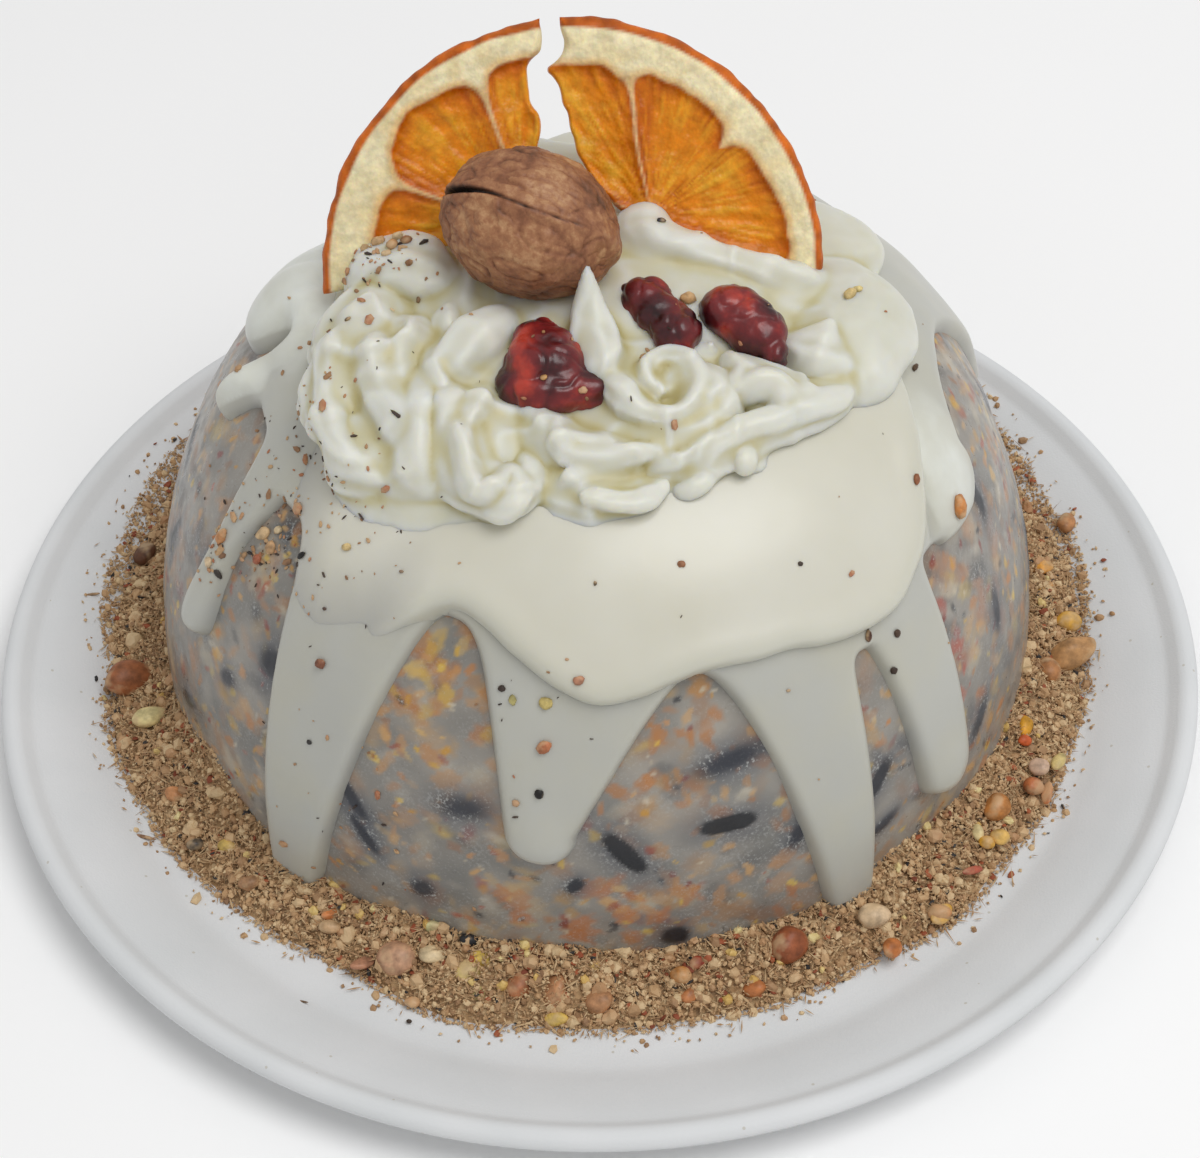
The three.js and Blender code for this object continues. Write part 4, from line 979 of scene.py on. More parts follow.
# The cream slumps, and flutes and pleats run over it, fainter at its peak, at its foot and behind.
slump = wandering(places, 9, 51) * (1.3, 1.3, 0.7)
curl = places + 2.2 * wandering(places, 6, 61)
fluting = np.exp(-(cloud(curl, 10, 58) / 0.34) ** 2) - 0.4
pleats = np.exp(-(cloud(curl, 5.5, 59) / 0.3) ** 2) - 0.4
calm = fade(z, CREAM_TOP, CREAM_TOP - 8)
low = np.maximum(fade(z, CREAM_FOOT, CREAM_FOOT + 5), 0.15)
low *= 1 - 0.75 * fade(np.maximum(x - 38, y - 18), 0, 6)
lift = (0.75 * fluting + 0.3 * pleats) * calm * low + 0.05 * cloud(places, 2.2, 57)
move_points(cream, places + slump * calm[:, None] + normals * lift[:, None])
# Painted shade: the folds are coloured yellower by how deep they lie, and the crests paler as painted
# highlight, before they are filled and their crests drawn up.
hollow = 1.2 * hollowness(cream, 6) + 0.85 * hollowness(cream, 36)
note(cream, "fold", np.clip(0.3 + hollow, 0, 1))
filled(cream, 12, 0.8)
crested(cream, 8, 1.1)
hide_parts("piped_cream")
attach(cream, "root")


# ---- orange slice ----------------------------------------------------------------------------------
# A slice across an orange, dried hard and broken in two: dry peel, plump cream-coloured pith, and pulp
# shrunk to thin, glassy amber bowls between raised walls. Both pieces lean back, pushed into the cream.
SLICE_FOOT = (-3, 13, 90)
SLICE_LEAN = 35
SLICE_R = 44.4
SLICE_CENTRE = (-0.5, 1.7)
SLICE_THICK = 4.6
PEEL = 1.5
CORE_R = 1.8
CORNER = 1.3
WALL_HALF = 0.15
WALL_SPREAD = 0.014
FADED_WALL = 44.2
GRID = 0.42
PITH, PITH_SHADE, PITH_WARM = "#eadfb8", "#dcc793", "#d9a04a"
ZEST, ZEST_DARK = "#cf6a18", "#94440c"
# The pulp's own orange, its painted shade by the walls, and its painted light where it is thin.
PULP, PULP_SHADE, PULP_LIT_AMBER = "#dc8413", "#bb5a0c", "#e3a52c"
PEEL_MOTTLE = 1.923
OIL_PORE = 0.8
# For each piece: the peel's start and end in degrees, where the walls between segments meet, their
# directions, the depth of rind at angles round the slice, and the broken edge. One wall fades away near
# the rind.
SLICES = {
    "left": (
        (184, 96.5), (-8.5, 8.9), (105, 157.8, 196),
        [(92, 6.6), (108, 6.0), (112, 6.4), (115.5, 8.6), (119, 6.4), (126, 5.4), (135, 4.2), (145, 6.4),
         (151, 9.4), (157, 8.6), (166, 8.8), (186, 9)],
        [(-5.2, 41.5), (-7.9, 37.5), (-7.5, 32), (-5.7, 27.7), (-8.5, 17), (-17, 8.5), (-32, 2)]),
    "right": (
        (92, -4), (13.5, 11.5), (-22, FADED_WALL, 100.4, 160),
        [(-6, 6.4), (13, 5.8), (26, 6.4), (35, 6.8), (39.5, 8.4), (44, 6.8), (53, 6.9), (68, 7.2), (75, 8.8),
         (81, 7.8), (94, 8.4)],
        [(38, -1.8), (28, 3), (17, 6.5), (8, 12.5), (1.6, 20.6), (-0.6, 27.6), (-2.5, 34.5), (-4.2, 37.1),
         (-1.7, 40.5)]),
}


def ring_places(degrees, radius):
    """Points round a circle, for unevenness that joins up all the way round."""
    return np.stack([radius * np.cos(degrees * RAD), radius * np.sin(degrees * RAD), 0 * degrees], -1)


def flat_cloud(places, size, seed, octaves=1):
    """Smooth random values at places in a plane."""
    return cloud(np.c_[places, 0 * places[:, 0]], size, seed, octaves)


def broken_outline(arc, broken):
    """The outline of a piece: shrivelled peel round its arc, and the torn edge back to its start."""
    sweep = np.linspace(arc[0], arc[1], 260)
    rough = ring_places(sweep, 30)
    reach = SLICE_R + 0.42 * cloud(rough, 4, 61, 2) + 0.22 * cloud(rough, 1.4, 63)
    rim = ring_places(sweep, reach)[:, :2] + SLICE_CENTRE
    torn = smooth_line([tuple(rim[-1])] + broken + [tuple(rim[0])], 14)[1:-1]
    shreds = [cloud(np.c_[torn, torn[:, axis]], 2.2, 64 + axis) for axis in range(2)]
    return np.vstack([rim, torn + 0.28 * np.stack(shreds, -1)])


def away_from(outline, places):
    """Distance of places in a plane from a closed outline, above nought inside, and the nearest points."""
    a, b = outline, np.roll(outline, -1, axis=0)
    best = np.full(len(places), 1e9)
    nearest = np.zeros_like(places)
    inside = np.zeros(len(places), bool)
    for (ax, ay), (bx, by) in zip(a, b):
        dx, dy = bx - ax, by - ay
        t = np.clip(((places[:, 0] - ax) * dx + (places[:, 1] - ay) * dy) / (dx * dx + dy * dy + 1e-12), 0, 1)
        px, py = ax + t * dx, ay + t * dy
        far = np.hypot(places[:, 0] - px, places[:, 1] - py)
        closer = far < best
        best = np.where(closer, far, best)
        nearest[closer] = np.stack([px, py], -1)[closer]
        crosses = (ay > places[:, 1]) != (by > places[:, 1])
        at = ax + (places[:, 1] - ay) / (dy if abs(dy) > 1e-12 else 1e-12) * dx
        inside ^= crosses & (places[:, 0] < at)
    return np.where(inside, best, -best), nearest


def trimmed_grid(outline):
    """A fine grid over a piece, drawn to its outline: places, distance in, which are its edge, faces."""
    lows, highs = outline.min(0) - 1, outline.max(0) + 1
    xs, ys = np.arange(lows[0], highs[0], GRID), np.arange(lows[1], highs[1], GRID)
    plane = np.stack(np.meshgrid(xs, ys), -1).reshape(-1, 2)
    far, nearest = away_from(outline, plane)
    used, index = keep_faces(sheet_faces(len(ys), len(xs), False), far > 0)
    edge = far[used] <= 0
    return np.where(edge[:, None], nearest[used], plane[used]), np.maximum(far[used], 0), edge, index


# A dried slice: the peel is matt and pitted by its oil pores, the pulp glassy where the juice dried.
dried_orange, tree, bsdf, where = finish(
    "dried orange, peel and glassy pulp", IOR=1.4, Subsurface_Weight=0.3, Subsurface_Scale=1.8 * MM,
    Subsurface_Radius=(1.0, 0.45, 0.1), Specular_IOR_Level=0.3, Coat_Weight=0.06, Coat_Roughness=0.25)
seen = node(tree, "Attribute", attribute_name="flesh").outputs["Color"]
wet = node(tree, "Attribute", attribute_name="wet").outputs["Fac"]
mottle = node(tree, "TexNoise", {"Vector": where, "Scale": scale_for(PEEL_MOTTLE), "Detail": 4.0,
                                 "Roughness": 0.6})
dapple = node(tree, "MapRange", {0: mottle.outputs["Fac"], 1: 0.35, 2: 0.7, 3: 0.84, 4: 1.12})
shaded = node(tree, "VectorMath", {0: seen, 1: dapple.outputs[0]}, operation="MULTIPLY")
gloss = node(tree, "MapRange", {0: wet, 1: 0.0, 2: 1.0, 3: 0.66, 4: 0.3})
pores = node(tree, "TexVoronoi", {"Vector": where, "Scale": scale_for(OIL_PORE)})
pitted = node(tree, "Bump", {"Height": pores.outputs["Distance"], "Strength": 0.4, "Distance": 0.25 * MM})
fill(tree, bsdf, {"Base Color": shaded.outputs[0], "Roughness": gloss.outputs[0],
                  "Normal": pitted.outputs[0]})

slice_place = Matrix.Translation(SLICE_FOOT) @ Matrix.Rotation((90 - SLICE_LEAN) * RAD, 4, "X")
slice_turn = np.array(slice_place.to_3x3())
for side_name, (arc, core, walls, depths, broken) in SLICES.items():
    spot, far, edge, index = trimmed_grid(broken_outline(arc, broken))
    centre = spot - SLICE_CENTRE
    way = np.degrees(np.arctan2(centre[:, 1], centre[:, 0]))
    along = ring_places(way, 40)
    deep = SLICE_R - np.hypot(*centre.T)
    rind = np.interp(way + 360 * (way < -90), *np.array(depths).T)
    rind = rind + 0.35 * cloud(along, 6, 66) + 0.25 * cloud(along, 2.2, 67)
    peel = PEEL + 0.35 * cloud(along, 5, 68)

    # Distance from the walls between the segments, and so how far in each place lies in its segment.
    from_core = spot - np.array(core)
    core_far = np.hypot(*from_core.T)
    core_way = np.degrees(np.arctan2(from_core[:, 1], from_core[:, 0]))
    wall = np.full(len(spot), 99.0)
    bend = 2.2 * flat_cloud(spot, 12, 69)
    for angle in walls:
        off = turn_from(core_way - angle, bend)
        beside = np.where(np.abs(off) < 90, core_far * np.abs(np.sin(off * RAD)), core_far)
        torn_away = 1.6 * fade(deep - rind, 1, 4) * (angle == FADED_WALL)
        wall = np.minimum(wall, beside + torn_away)
    wall = wall - WALL_HALF - WALL_SPREAD * core_far
    in_rind, in_wall = (np.exp(-np.clip(far_in, -9, 30) / CORNER) for far_in in (deep - rind, wall))
    edge_in = np.minimum(0.4 - CORNER * np.log(in_rind + in_wall), core_far - CORE_R)
    in_pulp = fade(edge_in, 0, 0.8)
    hollow = fade(edge_in, 0, 5) * in_pulp

    # Relief of the two faces: plump pith, sunk pulp with its fibres and cells, and a rounded edge.
    fibre = cloud(np.stack([core_way * 0.55, core_far * 0.16, 0 * way], -1), 1, 70, 2)
    cell = cloud(np.stack([core_way * 0.25, core_far * 0.5, 0 * way], -1), 1, 71)
    bevel = np.where(deep < far + 0.8, 2.0, 0.9)
    side = SLICE_THICK / 2 * np.sqrt(np.clip(1 - (1 - fade(far, 0, bevel)) ** 2, 0, 1))
    lump = 0.22 * flat_cloud(spot, 2.6, 72) + 0.12 * flat_cloud(spot, 1.0, 73)
    plump = fade(deep, peel, peel + 1) * fade(deep, rind + 1, rind)
    sunk = in_pulp * (0.5 + 0.9 * hollow)
    front = lump + 0.35 * plump - sunk + in_pulp * (0.24 * fibre + 0.14 * cell)
    rear = lump * 0.8 + 0.3 * plump - sunk * 0.9 + in_pulp * 0.2 * fibre
    front, rear = (np.where(edge, 0, np.maximum(side + relief * fade(far, 0, 1.2), 0.15))
                   for relief in (front, rear))

    # Colours: amber in the pulp, lighter in the middles of its bowls as painted light shining through,
    # streaked along its fibres, and darker by the walls as painted shade; pale pith, warm by the pulp; dark
    # zest.
    streak = np.clip(0.5 * fibre + 0.35 * cell + 0.55 * flat_cloud(spot, 6, 74, 2), -1, 1)
    colour = stained(rgb(PULP), rgb(PULP_LIT_AMBER), np.clip(hollow * 0.9 * (0.3 + 1.5 * streak), 0, 1))
    colour = stained(colour, rgb(PULP_SHADE), np.clip(0.85 - 0.3 * edge_in - 0.7 * streak, 0, 0.95))
    pale = stained(rgb(PITH), rgb(PITH_SHADE), np.clip(0.25 + 0.5 * flat_cloud(spot, 2.4, 75), 0, 1))
    pale = stained(pale, rgb(PITH_WARM), np.clip(0.55 - 0.5 * np.abs(edge_in + 0.2), 0, 0.5))
    colour = stained(colour, pale, fade(edge_in, 0.5, 0) * (core_far > CORE_R + 0.4))
    zest = stained(rgb(ZEST), rgb(ZEST_DARK), np.clip(0.35 + 0.6 * flat_cloud(spot, 1.6, 76), 0, 1))
    skin = np.clip((peel - deep) / 0.5 + 0.5, 0, 1)
    colour = stained(colour, zest, skin)
    wetness = np.clip(in_pulp * 0.9 + 0.25 * skin, 0, 1)

    # The two faces share the points of the edge.
    behind = np.arange(len(spot))
    behind[~edge] = len(spot) + np.arange((~edge).sum())
    both = np.vstack([np.c_[spot, front], np.c_[spot[~edge], -rear[~edge]]])
    half_slice = made_of("orange_piece_" + side_name, both @ slice_turn.T + np.array(SLICE_FOOT),
                         np.vstack([index, behind[index][:, ::-1]]), dried_orange)
    note(half_slice, "flesh", np.vstack([colour, colour[~edge]]))
    note(half_slice, "wet", np.concatenate([wetness, wetness[~edge]]))
    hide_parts("orange_slice_" + side_name)
    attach(half_slice, "root")


# ---- walnut ----------------------------------------------------------------------------------------
# A whole walnut in its shell, pressed into the cream: two woody halves that meet in a raised seam, dull
# brown and netted with grooves that run from end to end. The seam has begun to open at its left end.
WALNUT_PLACE = (-10.7, 7.2, 108.3)
WALNUT_HALF = (15.6, 12.6, 12.9)
WALNUT_TURN = (-8, 16, -12)
SEAM_TURN = 43
SEAM_SWAY = 0.03
SEAM_RISE = 0.6
SEAM_WIDTH = 0.15
CRACK_WIDTH = 0.014
GAPE_WIDTH = 0.026
GROOVE_DEPTH = 0.3
GROOVE_STRETCH = 0.42
WALNUT_AROUND = 240
WALNUT_ROWS = 200
SHELL_STAIN = 7.692
SHELL_SPECK = 1.6129
SHELL_PIT = 0.6667

down = np.linspace(0, np.pi, WALNUT_ROWS + 2)[1:-1]
theta = np.linspace(0, 2 * np.pi, WALNUT_AROUND, endpoint=False)
unit = np.stack([np.repeat(-np.cos(down)[:, None], WALNUT_AROUND, 1), np.outer(np.sin(down), np.cos(theta)),
                 np.outer(np.sin(down), -np.sin(theta))], -1)
unit = np.vstack([unit.reshape(-1, 3), [(-1.0, 0, 0), (1.0, 0, 0)]])
from_left, from_front, height = unit.T
across_seam = math.cos(SEAM_TURN * RAD) * height + math.sin(SEAM_TURN * RAD) * from_front
across_seam += SEAM_SWAY * np.sin(5 * from_left + 1)
shell_at = unit * np.array(WALNUT_HALF)
grain_at = (shell_at + 1.6 * wandering(shell_at, 6, 80)) * (GROOVE_STRETCH, 1, 1)
vein = 1 - np.abs(cloud(grain_at, 3.4, 84))
vein_fine = 1 - np.abs(cloud(grain_at + 50, 1.4, 85))
dimple = cloud(shell_at, 2.4, 86, 2)
blotch = cloud(shell_at, 7, 88, 3)
ridge = SEAM_RISE * np.exp(-(across_seam / SEAM_WIDTH) ** 2)
gape = fade(from_left, -0.3, -0.8)
crack = np.exp(-(across_seam / (CRACK_WIDTH + GAPE_WIDTH * gape)) ** 2)
crack = crack * (0.6 * fade(from_left, 0.7, 0.3) + 1.5 * gape)
grooves = GROOVE_DEPTH * (fade(vein, 0.76, 1) ** 1.6 + 0.6 * fade(vein_fine, 0.78, 1) ** 1.6)
lift = ridge - crack - grooves * (1 - 0.6 * np.exp(-(across_seam / 0.12) ** 2)) + 0.3 * dimple
lift += 0.45 * cloud(shell_at, 8, 87) + 0.07 * cloud(shell_at, 0.8, 89)
# Painted shade: darker down the grooves, far darker in the open crack, a little paler on the seam ridge; the
# blotches and dimples are the shell's own mottle.
shade = 0.08 + 0.17 * grooves / GROOVE_DEPTH + 0.9 * crack - 0.1 * ridge + 0.16 * blotch + 0.06 * dimple
walnut_turn = np.array(Matrix.Rotation(WALNUT_TURN[0] * RAD, 3, "X")
                       @ Matrix.Rotation(WALNUT_TURN[1] * RAD, 3, "Y")
                       @ Matrix.Rotation(WALNUT_TURN[2] * RAD, 3, "Z"))
shell_points = (shell_at + unit * lift[:, None]) @ walnut_turn.T + np.array(WALNUT_PLACE)
rings = shell_points[:-2].reshape(WALNUT_ROWS, WALNUT_AROUND, 3)

# Walnut shell is dry wood with hardly any shine, mottled by stains and a little paler along its seam
# ridge; its grooves, and its open crack most of all, are painted dark as shade. Its pits are too fine to
# show, so they are drawn two thirds of a millimetre across.
walnut_shell, tree, bsdf, where = finish("walnut shell, dry and woody", Roughness=0.5, IOR=1.5,
                                         Specular_IOR_Level=0.35)
# The low value brings the painted shade of the grooves and crack, with the shell's own mottle.
low = node(tree, "Attribute", attribute_name="low").outputs["Fac"]
stain = node(tree, "TexNoise", {"Vector": where, "Scale": scale_for(SHELL_STAIN), "Detail": 5.0,
                                "Roughness": 0.7})
worn = node(tree, "Math", {0: stain.outputs["Fac"], 1: 0.55, 2: low}, operation="MULTIPLY_ADD")
speck = node(tree, "TexNoise", {"Vector": where, "Scale": scale_for(SHELL_SPECK), "Detail": 4.0,
                                "Roughness": 0.7})
mottled = node(tree, "Math", {0: speck.outputs["Fac"], 1: 0.7, 2: worn.outputs[0]},
               operation="MULTIPLY_ADD")
depth = node(tree, "MapRange", {0: mottled.outputs[0], 1: 0.3, 2: 1.6})
brown = node(tree, "ValToRGB", {"Fac": depth.outputs[0]},
             stops=((0.16, "#b58a63"), (0.28, "#9c6c4a"), (0.42, "#835439"), (0.62, "#593823"),
                    (0.95, "#1f120b")))
pits = node(tree, "TexNoise", {"Vector": where, "Scale": scale_for(SHELL_PIT), "Detail": 4.0})
wood = node(tree, "Bump", {"Height": pits.outputs["Fac"], "Strength": 0.5, "Distance": 0.2 * MM})
fill(tree, bsdf, {"Base Color": brown.outputs["Color"], "Normal": wood.outputs[0]})
points, faces = closed_rings(rings, shell_points[-2], shell_points[-1])
walnut = made_of("walnut_shell", points, faces, walnut_shell)
note(walnut, "low", np.clip(shade, 0, 1))
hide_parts("walnut")
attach(walnut, "root")


# ---- dried cranberries -----------------------------------------------------------------------------
# Cranberries dried with sugar until they collapse: dark red, sticky and shiny, with sharp folds. Their red
# varies at random, painted shade darkens the folds and painted light brightens the ridges.
BERRY_VOXEL = 0.36
PLEAT_WIDTH = 0.16
BERRY_MOTTLE = 4.762
BERRY_CREASE = 1.6129
# Each is a few lumps melted together: middle and half sizes.
BERRIES = {
    "left": [((-8.2, -13.4, 95.2), (7.2, 7.2, 5.6)), ((-7.4, -17.4, 93.2), (8.8, 6, 5)),
             ((-9.6, -9.6, 97), (4.6, 4.4, 3.6)), ((-2.2, -17.8, 93), (6.2, 4.6, 3.8)),
             ((2.0, -19.4, 92.4), (3, 2.4, 2.4)), ((-13, -17, 93), (4.2, 4.4, 3.8))],
    "middle": [((9.2, -0.6, 97.6), (4.9, 4.4, 4.2)), ((14, -7, 96), (5, 4.8, 4.4)),
               ((11.4, -3.6, 97), (5, 4.2, 4)), ((7, 0.8, 97), (3.4, 3, 3))],
    "right": [((23.8, -2.6, 96.6), (5.6, 4.8, 4.4)), ((28, -6.6, 95), (5.4, 5, 4.4)),
              ((25.8, -4.6, 96.2), (5.6, 4.6, 4.4)), ((30.8, -10.4, 93.4), (2.6, 3.6, 3))],
}

# A sugared, dried berry is sticky and shiny; the thin value paints it nearly black in its folds as shade,
# and clearer red on its ridges as painted light and in random patches.
dried_berry, tree, bsdf, where = finish(
    "sugared cranberry, dried", Roughness=0.34, IOR=1.42, Subsurface_Weight=0.25,
    Subsurface_Scale=1.4 * MM, Subsurface_Radius=(1.0, 0.15, 0.12), Coat_Weight=0.28, Coat_Roughness=0.2)
stretch = node(tree, "Attribute", attribute_name="thin").outputs["Fac"]
mottle = node(tree, "TexNoise", {"Vector": where, "Scale": scale_for(BERRY_MOTTLE), "Detail": 3.0,
                                 "Roughness": 0.6})
through = node(tree, "Math", {0: mottle.outputs["Fac"], 1: 0.8, 2: stretch}, operation="MULTIPLY_ADD")
red = node(tree, "ValToRGB", {"Fac": through.outputs[0]},
           stops=((0.3, "#22070a"), (0.55, "#4a0f14"), (0.78, "#741d1e"), (1.0, "#b13a2a")))
creases = node(tree, "TexNoise", {"Vector": where, "Scale": scale_for(BERRY_CREASE), "Detail": 3.0})
puckered = node(tree, "Bump", {"Height": creases.outputs["Fac"], "Strength": 0.45, "Distance": 0.4 * MM})
fill(tree, bsdf, {"Base Color": red.outputs["Color"], "Normal": puckered.outputs[0]})
berries = []
for k, (name, lumps) in enumerate(BERRIES.items()):
    shells = [ball(middle, half, 32, 16) for middle, half in lumps]
    berry = melted("dried_berry_" + name, shells, BERRY_VOXEL, dried_berry, 10)
    places, normals = points_of(berry)
    warp = places + 0.9 * wandering(places, 3, 90 + 3 * k)
    pleat = -np.exp(-(cloud(warp, 5.5, 100 + k) / PLEAT_WIDTH) ** 2)
    pleat_fine = -np.exp(-(cloud(warp, 3, 104 + k) / PLEAT_WIDTH) ** 2)
    lumpy = 0.4 * cloud(places, 5, 108 + k) + 0.14 * cloud(places, 1.6, 109 + k)
    lifted(berry, 0.42 * pleat + 0.2 * pleat_fine + lumpy)
    # Painted shade and light: thin falls in the pleats and hollows and rises on the ridges, over a random
    # red.
    thin = 0.24 + 0.4 * cloud(places, 5, 112 + k) + 0.1 * pleat - 0.2 * hollowness(berry, 4)
    note(berry, "thin", np.clip(thin, 0, 0.8))
    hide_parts("cranberry_" + name)
    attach(berry, "root")
    berries.append(berry)


# ---- crumb ring ------------------------------------------------------------------------------------
# Ground nuts and husks heaped round the foot of the cake while the fat was soft. The finest meal is
# relief on a low bank, and every grain, sliver, seed and nut that can be told apart lies on it.
GAP = 0.3
CRUMB_OUT_R = 97.2
CRUMB_LIMIT = 105
CRUMB_SWAY = 1.8
CRUMB_HEIGHT = 6.2
CRUMB_ROUGH = 0.22
SHOULDER_AT = 0.36
SHOULDER = 0.86
SLOPE_AT = 0.78
SLOPE = 0.4
BANK_TUCK = 1.0
BANK_SINK = 0.9
CLIMB_REACH = 0.4
CLIMB_LEAN = 0.06
LEAST = 0.25
PLATE_DIP = 0.3
BANK_AROUND = 900
BANK_ROWS = 40
MEAL_GRAIN = 0.9091
# Where the ring spreads further out and stands higher: angle, reach in degrees, and millimetres.
SPREAD = [(98, 20, -0.6), (-98, 24, 0.2), (-35, 9, -1.5)]
CLIMB = [(-57, 12, 9), (38, 10, 3), (-90, 16, 3), (-22, 7, 3), (61, 9, 2)]


def uneven(angle, seed):
    """The smooth unevenness of the ring's outline, from -1 to 1."""
    return (np.sin(3 * angle + seed) + np.sin(7 * angle + 2.1 * seed) + np.sin(13 * angle + 3.7 * seed)
            + np.sin(19 * angle + 0.7 * seed)) / 4


def near_to(angle, at, reach):
    """One at a direction in degrees, falling softly to nought beyond a reach."""
    return np.exp(-(turn_from(angle / RAD, at) / reach) ** 2)


def bank(angle, across):
    """Radius and height of the ring at an angle from the front, from the cake (0) to its foot (1)."""
    foot = CRUMB_OUT_R + CRUMB_SWAY * uneven(angle, 1.3)
    for at, reach, out in SPREAD:
        foot = foot + out * near_to(angle, at, reach)
    off = CAKE_X * np.sin(angle) - CAKE_Y * np.cos(angle)
    on_plate = np.sqrt(off ** 2 - CAKE_X ** 2 - CAKE_Y ** 2 + CRUMB_LIMIT ** 2) - off
    foot = np.minimum(foot, on_plate)
    floor = PLATE_PROFILE[0][1] + GAP
    inner = DOME_R - BANK_TUCK
    tall = CRUMB_HEIGHT * (1 + CRUMB_ROUGH * uneven(angle, 4.2))
    shoulder = SHOULDER + CRUMB_ROUGH / 2 * uneven(angle, 2.6)
    top = 1 + (shoulder - 1) * across / SHOULDER_AT
    side = shoulder + (SLOPE - shoulder) * (across - SHOULDER_AT) / (SLOPE_AT - SHOULDER_AT)
    toe = SLOPE * (1 - (across - SLOPE_AT) / (1 - SLOPE_AT))
    share = np.where(across < SHOULDER_AT, top, np.where(across < SLOPE_AT, side, toe))
    height = floor + tall * np.maximum(share, 0)
    for at, reach, up in CLIMB:
        height = height + up * near_to(angle, at, reach) * fade(across, CLIMB_REACH, 0) ** 1.6
    lean = CLIMB_LEAN * np.maximum(height - floor - tall, 0)
    return inner + (foot - inner) * across - lean, height


def plate_top(reach):
    """Height of the plate's upper face at a distance from its middle."""
    upper = PLATE_PROFILE[:UPPER_FACE]
    return np.interp(reach, [r for r, _ in upper], [z for _, z in upper])


def on_bank(angle, across, lift=0.0):
    """Points on the ring's surface, raised by a height; past its foot they lie on the plate."""
    r, z = bank(angle, across)
    x, y = CAKE_X + r * np.sin(angle), CAKE_Y - r * np.cos(angle)
    flat = np.stack([x, y, 0 * x], -1).reshape(-1, 3)
    clods = (0.75 * cloud(flat, 8, 124) + 0.55 * cloud(flat, 3.4, 125)).reshape(x.shape)
    z = np.maximum(z + clods * np.clip((1 - across) * 6, 0, 1), plate_top(np.hypot(x, y)) + LEAST)
    return np.stack([x, y, z + lift], -1)


angle, across = np.meshgrid(np.linspace(-np.pi, np.pi, BANK_AROUND, endpoint=False),
                            np.linspace(0, 1, BANK_ROWS))
heap = on_bank(angle, across, -BANK_SINK).reshape(-1, 3)
meal = 0.5 * cloud(heap, 2.6, 121) + 0.32 * cloud(heap, 1.2, 122) + 0.2 * cloud(heap, 0.7, 123)
heap[:, 2] = np.maximum(heap[:, 2] + meal * np.clip((1 - across.ravel()) * 8, 0, 1),
                        plate_top(np.hypot(heap[:, 0], heap[:, 1])) - PLATE_DIP)

# Ground nut meal is dry and matt, every grain its own tan. Its grains are drawn nearly a millimetre
# across, because finer ones don't show.
ground_nut, tree, bsdf, where = finish("ground nut meal, dry", Roughness=0.85, IOR=1.45)
mixed_meal = node(tree, "TexVoronoi", {"Vector": where, "Scale": scale_for(MEAL_GRAIN)})
tan = node(tree, "ValToRGB", {"Fac": mixed_meal.outputs["Color"]},
           stops=((0.1, "#8f7253"), (0.35, "#ac8860"), (0.6, "#bc9b72"), (0.85, "#ccb088")))
gritty = node(tree, "Bump", {"Height": mixed_meal.outputs["Distance"], "Strength": 0.8,
                             "Distance": 0.6 * MM})
fill(tree, bsdf, {"Base Color": tan.outputs["Color"], "Normal": gritty.outputs[0]})
meal_bank = made_of("nut_meal", heap, sheet_faces(*angle.shape), ground_nut)
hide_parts("crumb_ring")
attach(meal_bank, "root")

# The loose things start from a few rounded shapes: grit with eight faces, a chip with twenty, and a
# pebble and a bean cut finer from the chip.
GOLDEN = (1 + 5 ** 0.5) / 2
GRIT = (np.array([(1, 0, 0), (-1, 0, 0), (0, 1, 0), (0, -1, 0), (0, 0, 1), (0, 0, -1.0)]),
        np.array([(0, 2, 4), (2, 1, 4), (1, 3, 4), (3, 0, 4), (2, 0, 5), (1, 2, 5), (3, 1, 5), (0, 3, 5)]))
CHIP_POINTS = [(-1, GOLDEN, 0), (1, GOLDEN, 0), (-1, -GOLDEN, 0), (1, -GOLDEN, 0), (0, -1, GOLDEN),
               (0, 1, GOLDEN), (0, -1, -GOLDEN), (0, 1, -GOLDEN), (GOLDEN, 0, -1), (GOLDEN, 0, 1),
               (-GOLDEN, 0, -1), (-GOLDEN, 0, 1)]
CHIP_FACES = [(0, 11, 5), (0, 5, 1), (0, 1, 7), (0, 7, 10), (0, 10, 11), (1, 5, 9), (5, 11, 4),
              (11, 10, 2), (10, 7, 6), (7, 1, 8), (3, 9, 4), (3, 4, 2), (3, 2, 6), (3, 6, 8), (3, 8, 9),
              (4, 9, 5), (2, 4, 11), (6, 2, 10), (8, 6, 7), (9, 8, 1)]
CHIP = (np.array(CHIP_POINTS) / math.hypot(1, GOLDEN), np.array(CHIP_FACES))


def finer(points, faces):
    """A ball's triangles each cut in four, with the new points pushed out to the ball."""
    points = [tuple(p) for p in points]
    middle = {}

    def halfway(a, b):
        pair = (min(a, b), max(a, b))
        if pair not in middle:
            p = (np.array(points[a]) + np.array(points[b])) / 2
            points.append(tuple(p / np.linalg.norm(p)))
            middle[pair] = len(points) - 1
        return middle[pair]

    out = []
    for a, b, c in faces:
        ab, bc, ca = halfway(a, b), halfway(b, c), halfway(c, a)
        out += [(a, ab, ca), (b, bc, ab), (c, ca, bc), (ab, bc, ca)]
    return np.array(points), np.array(out)


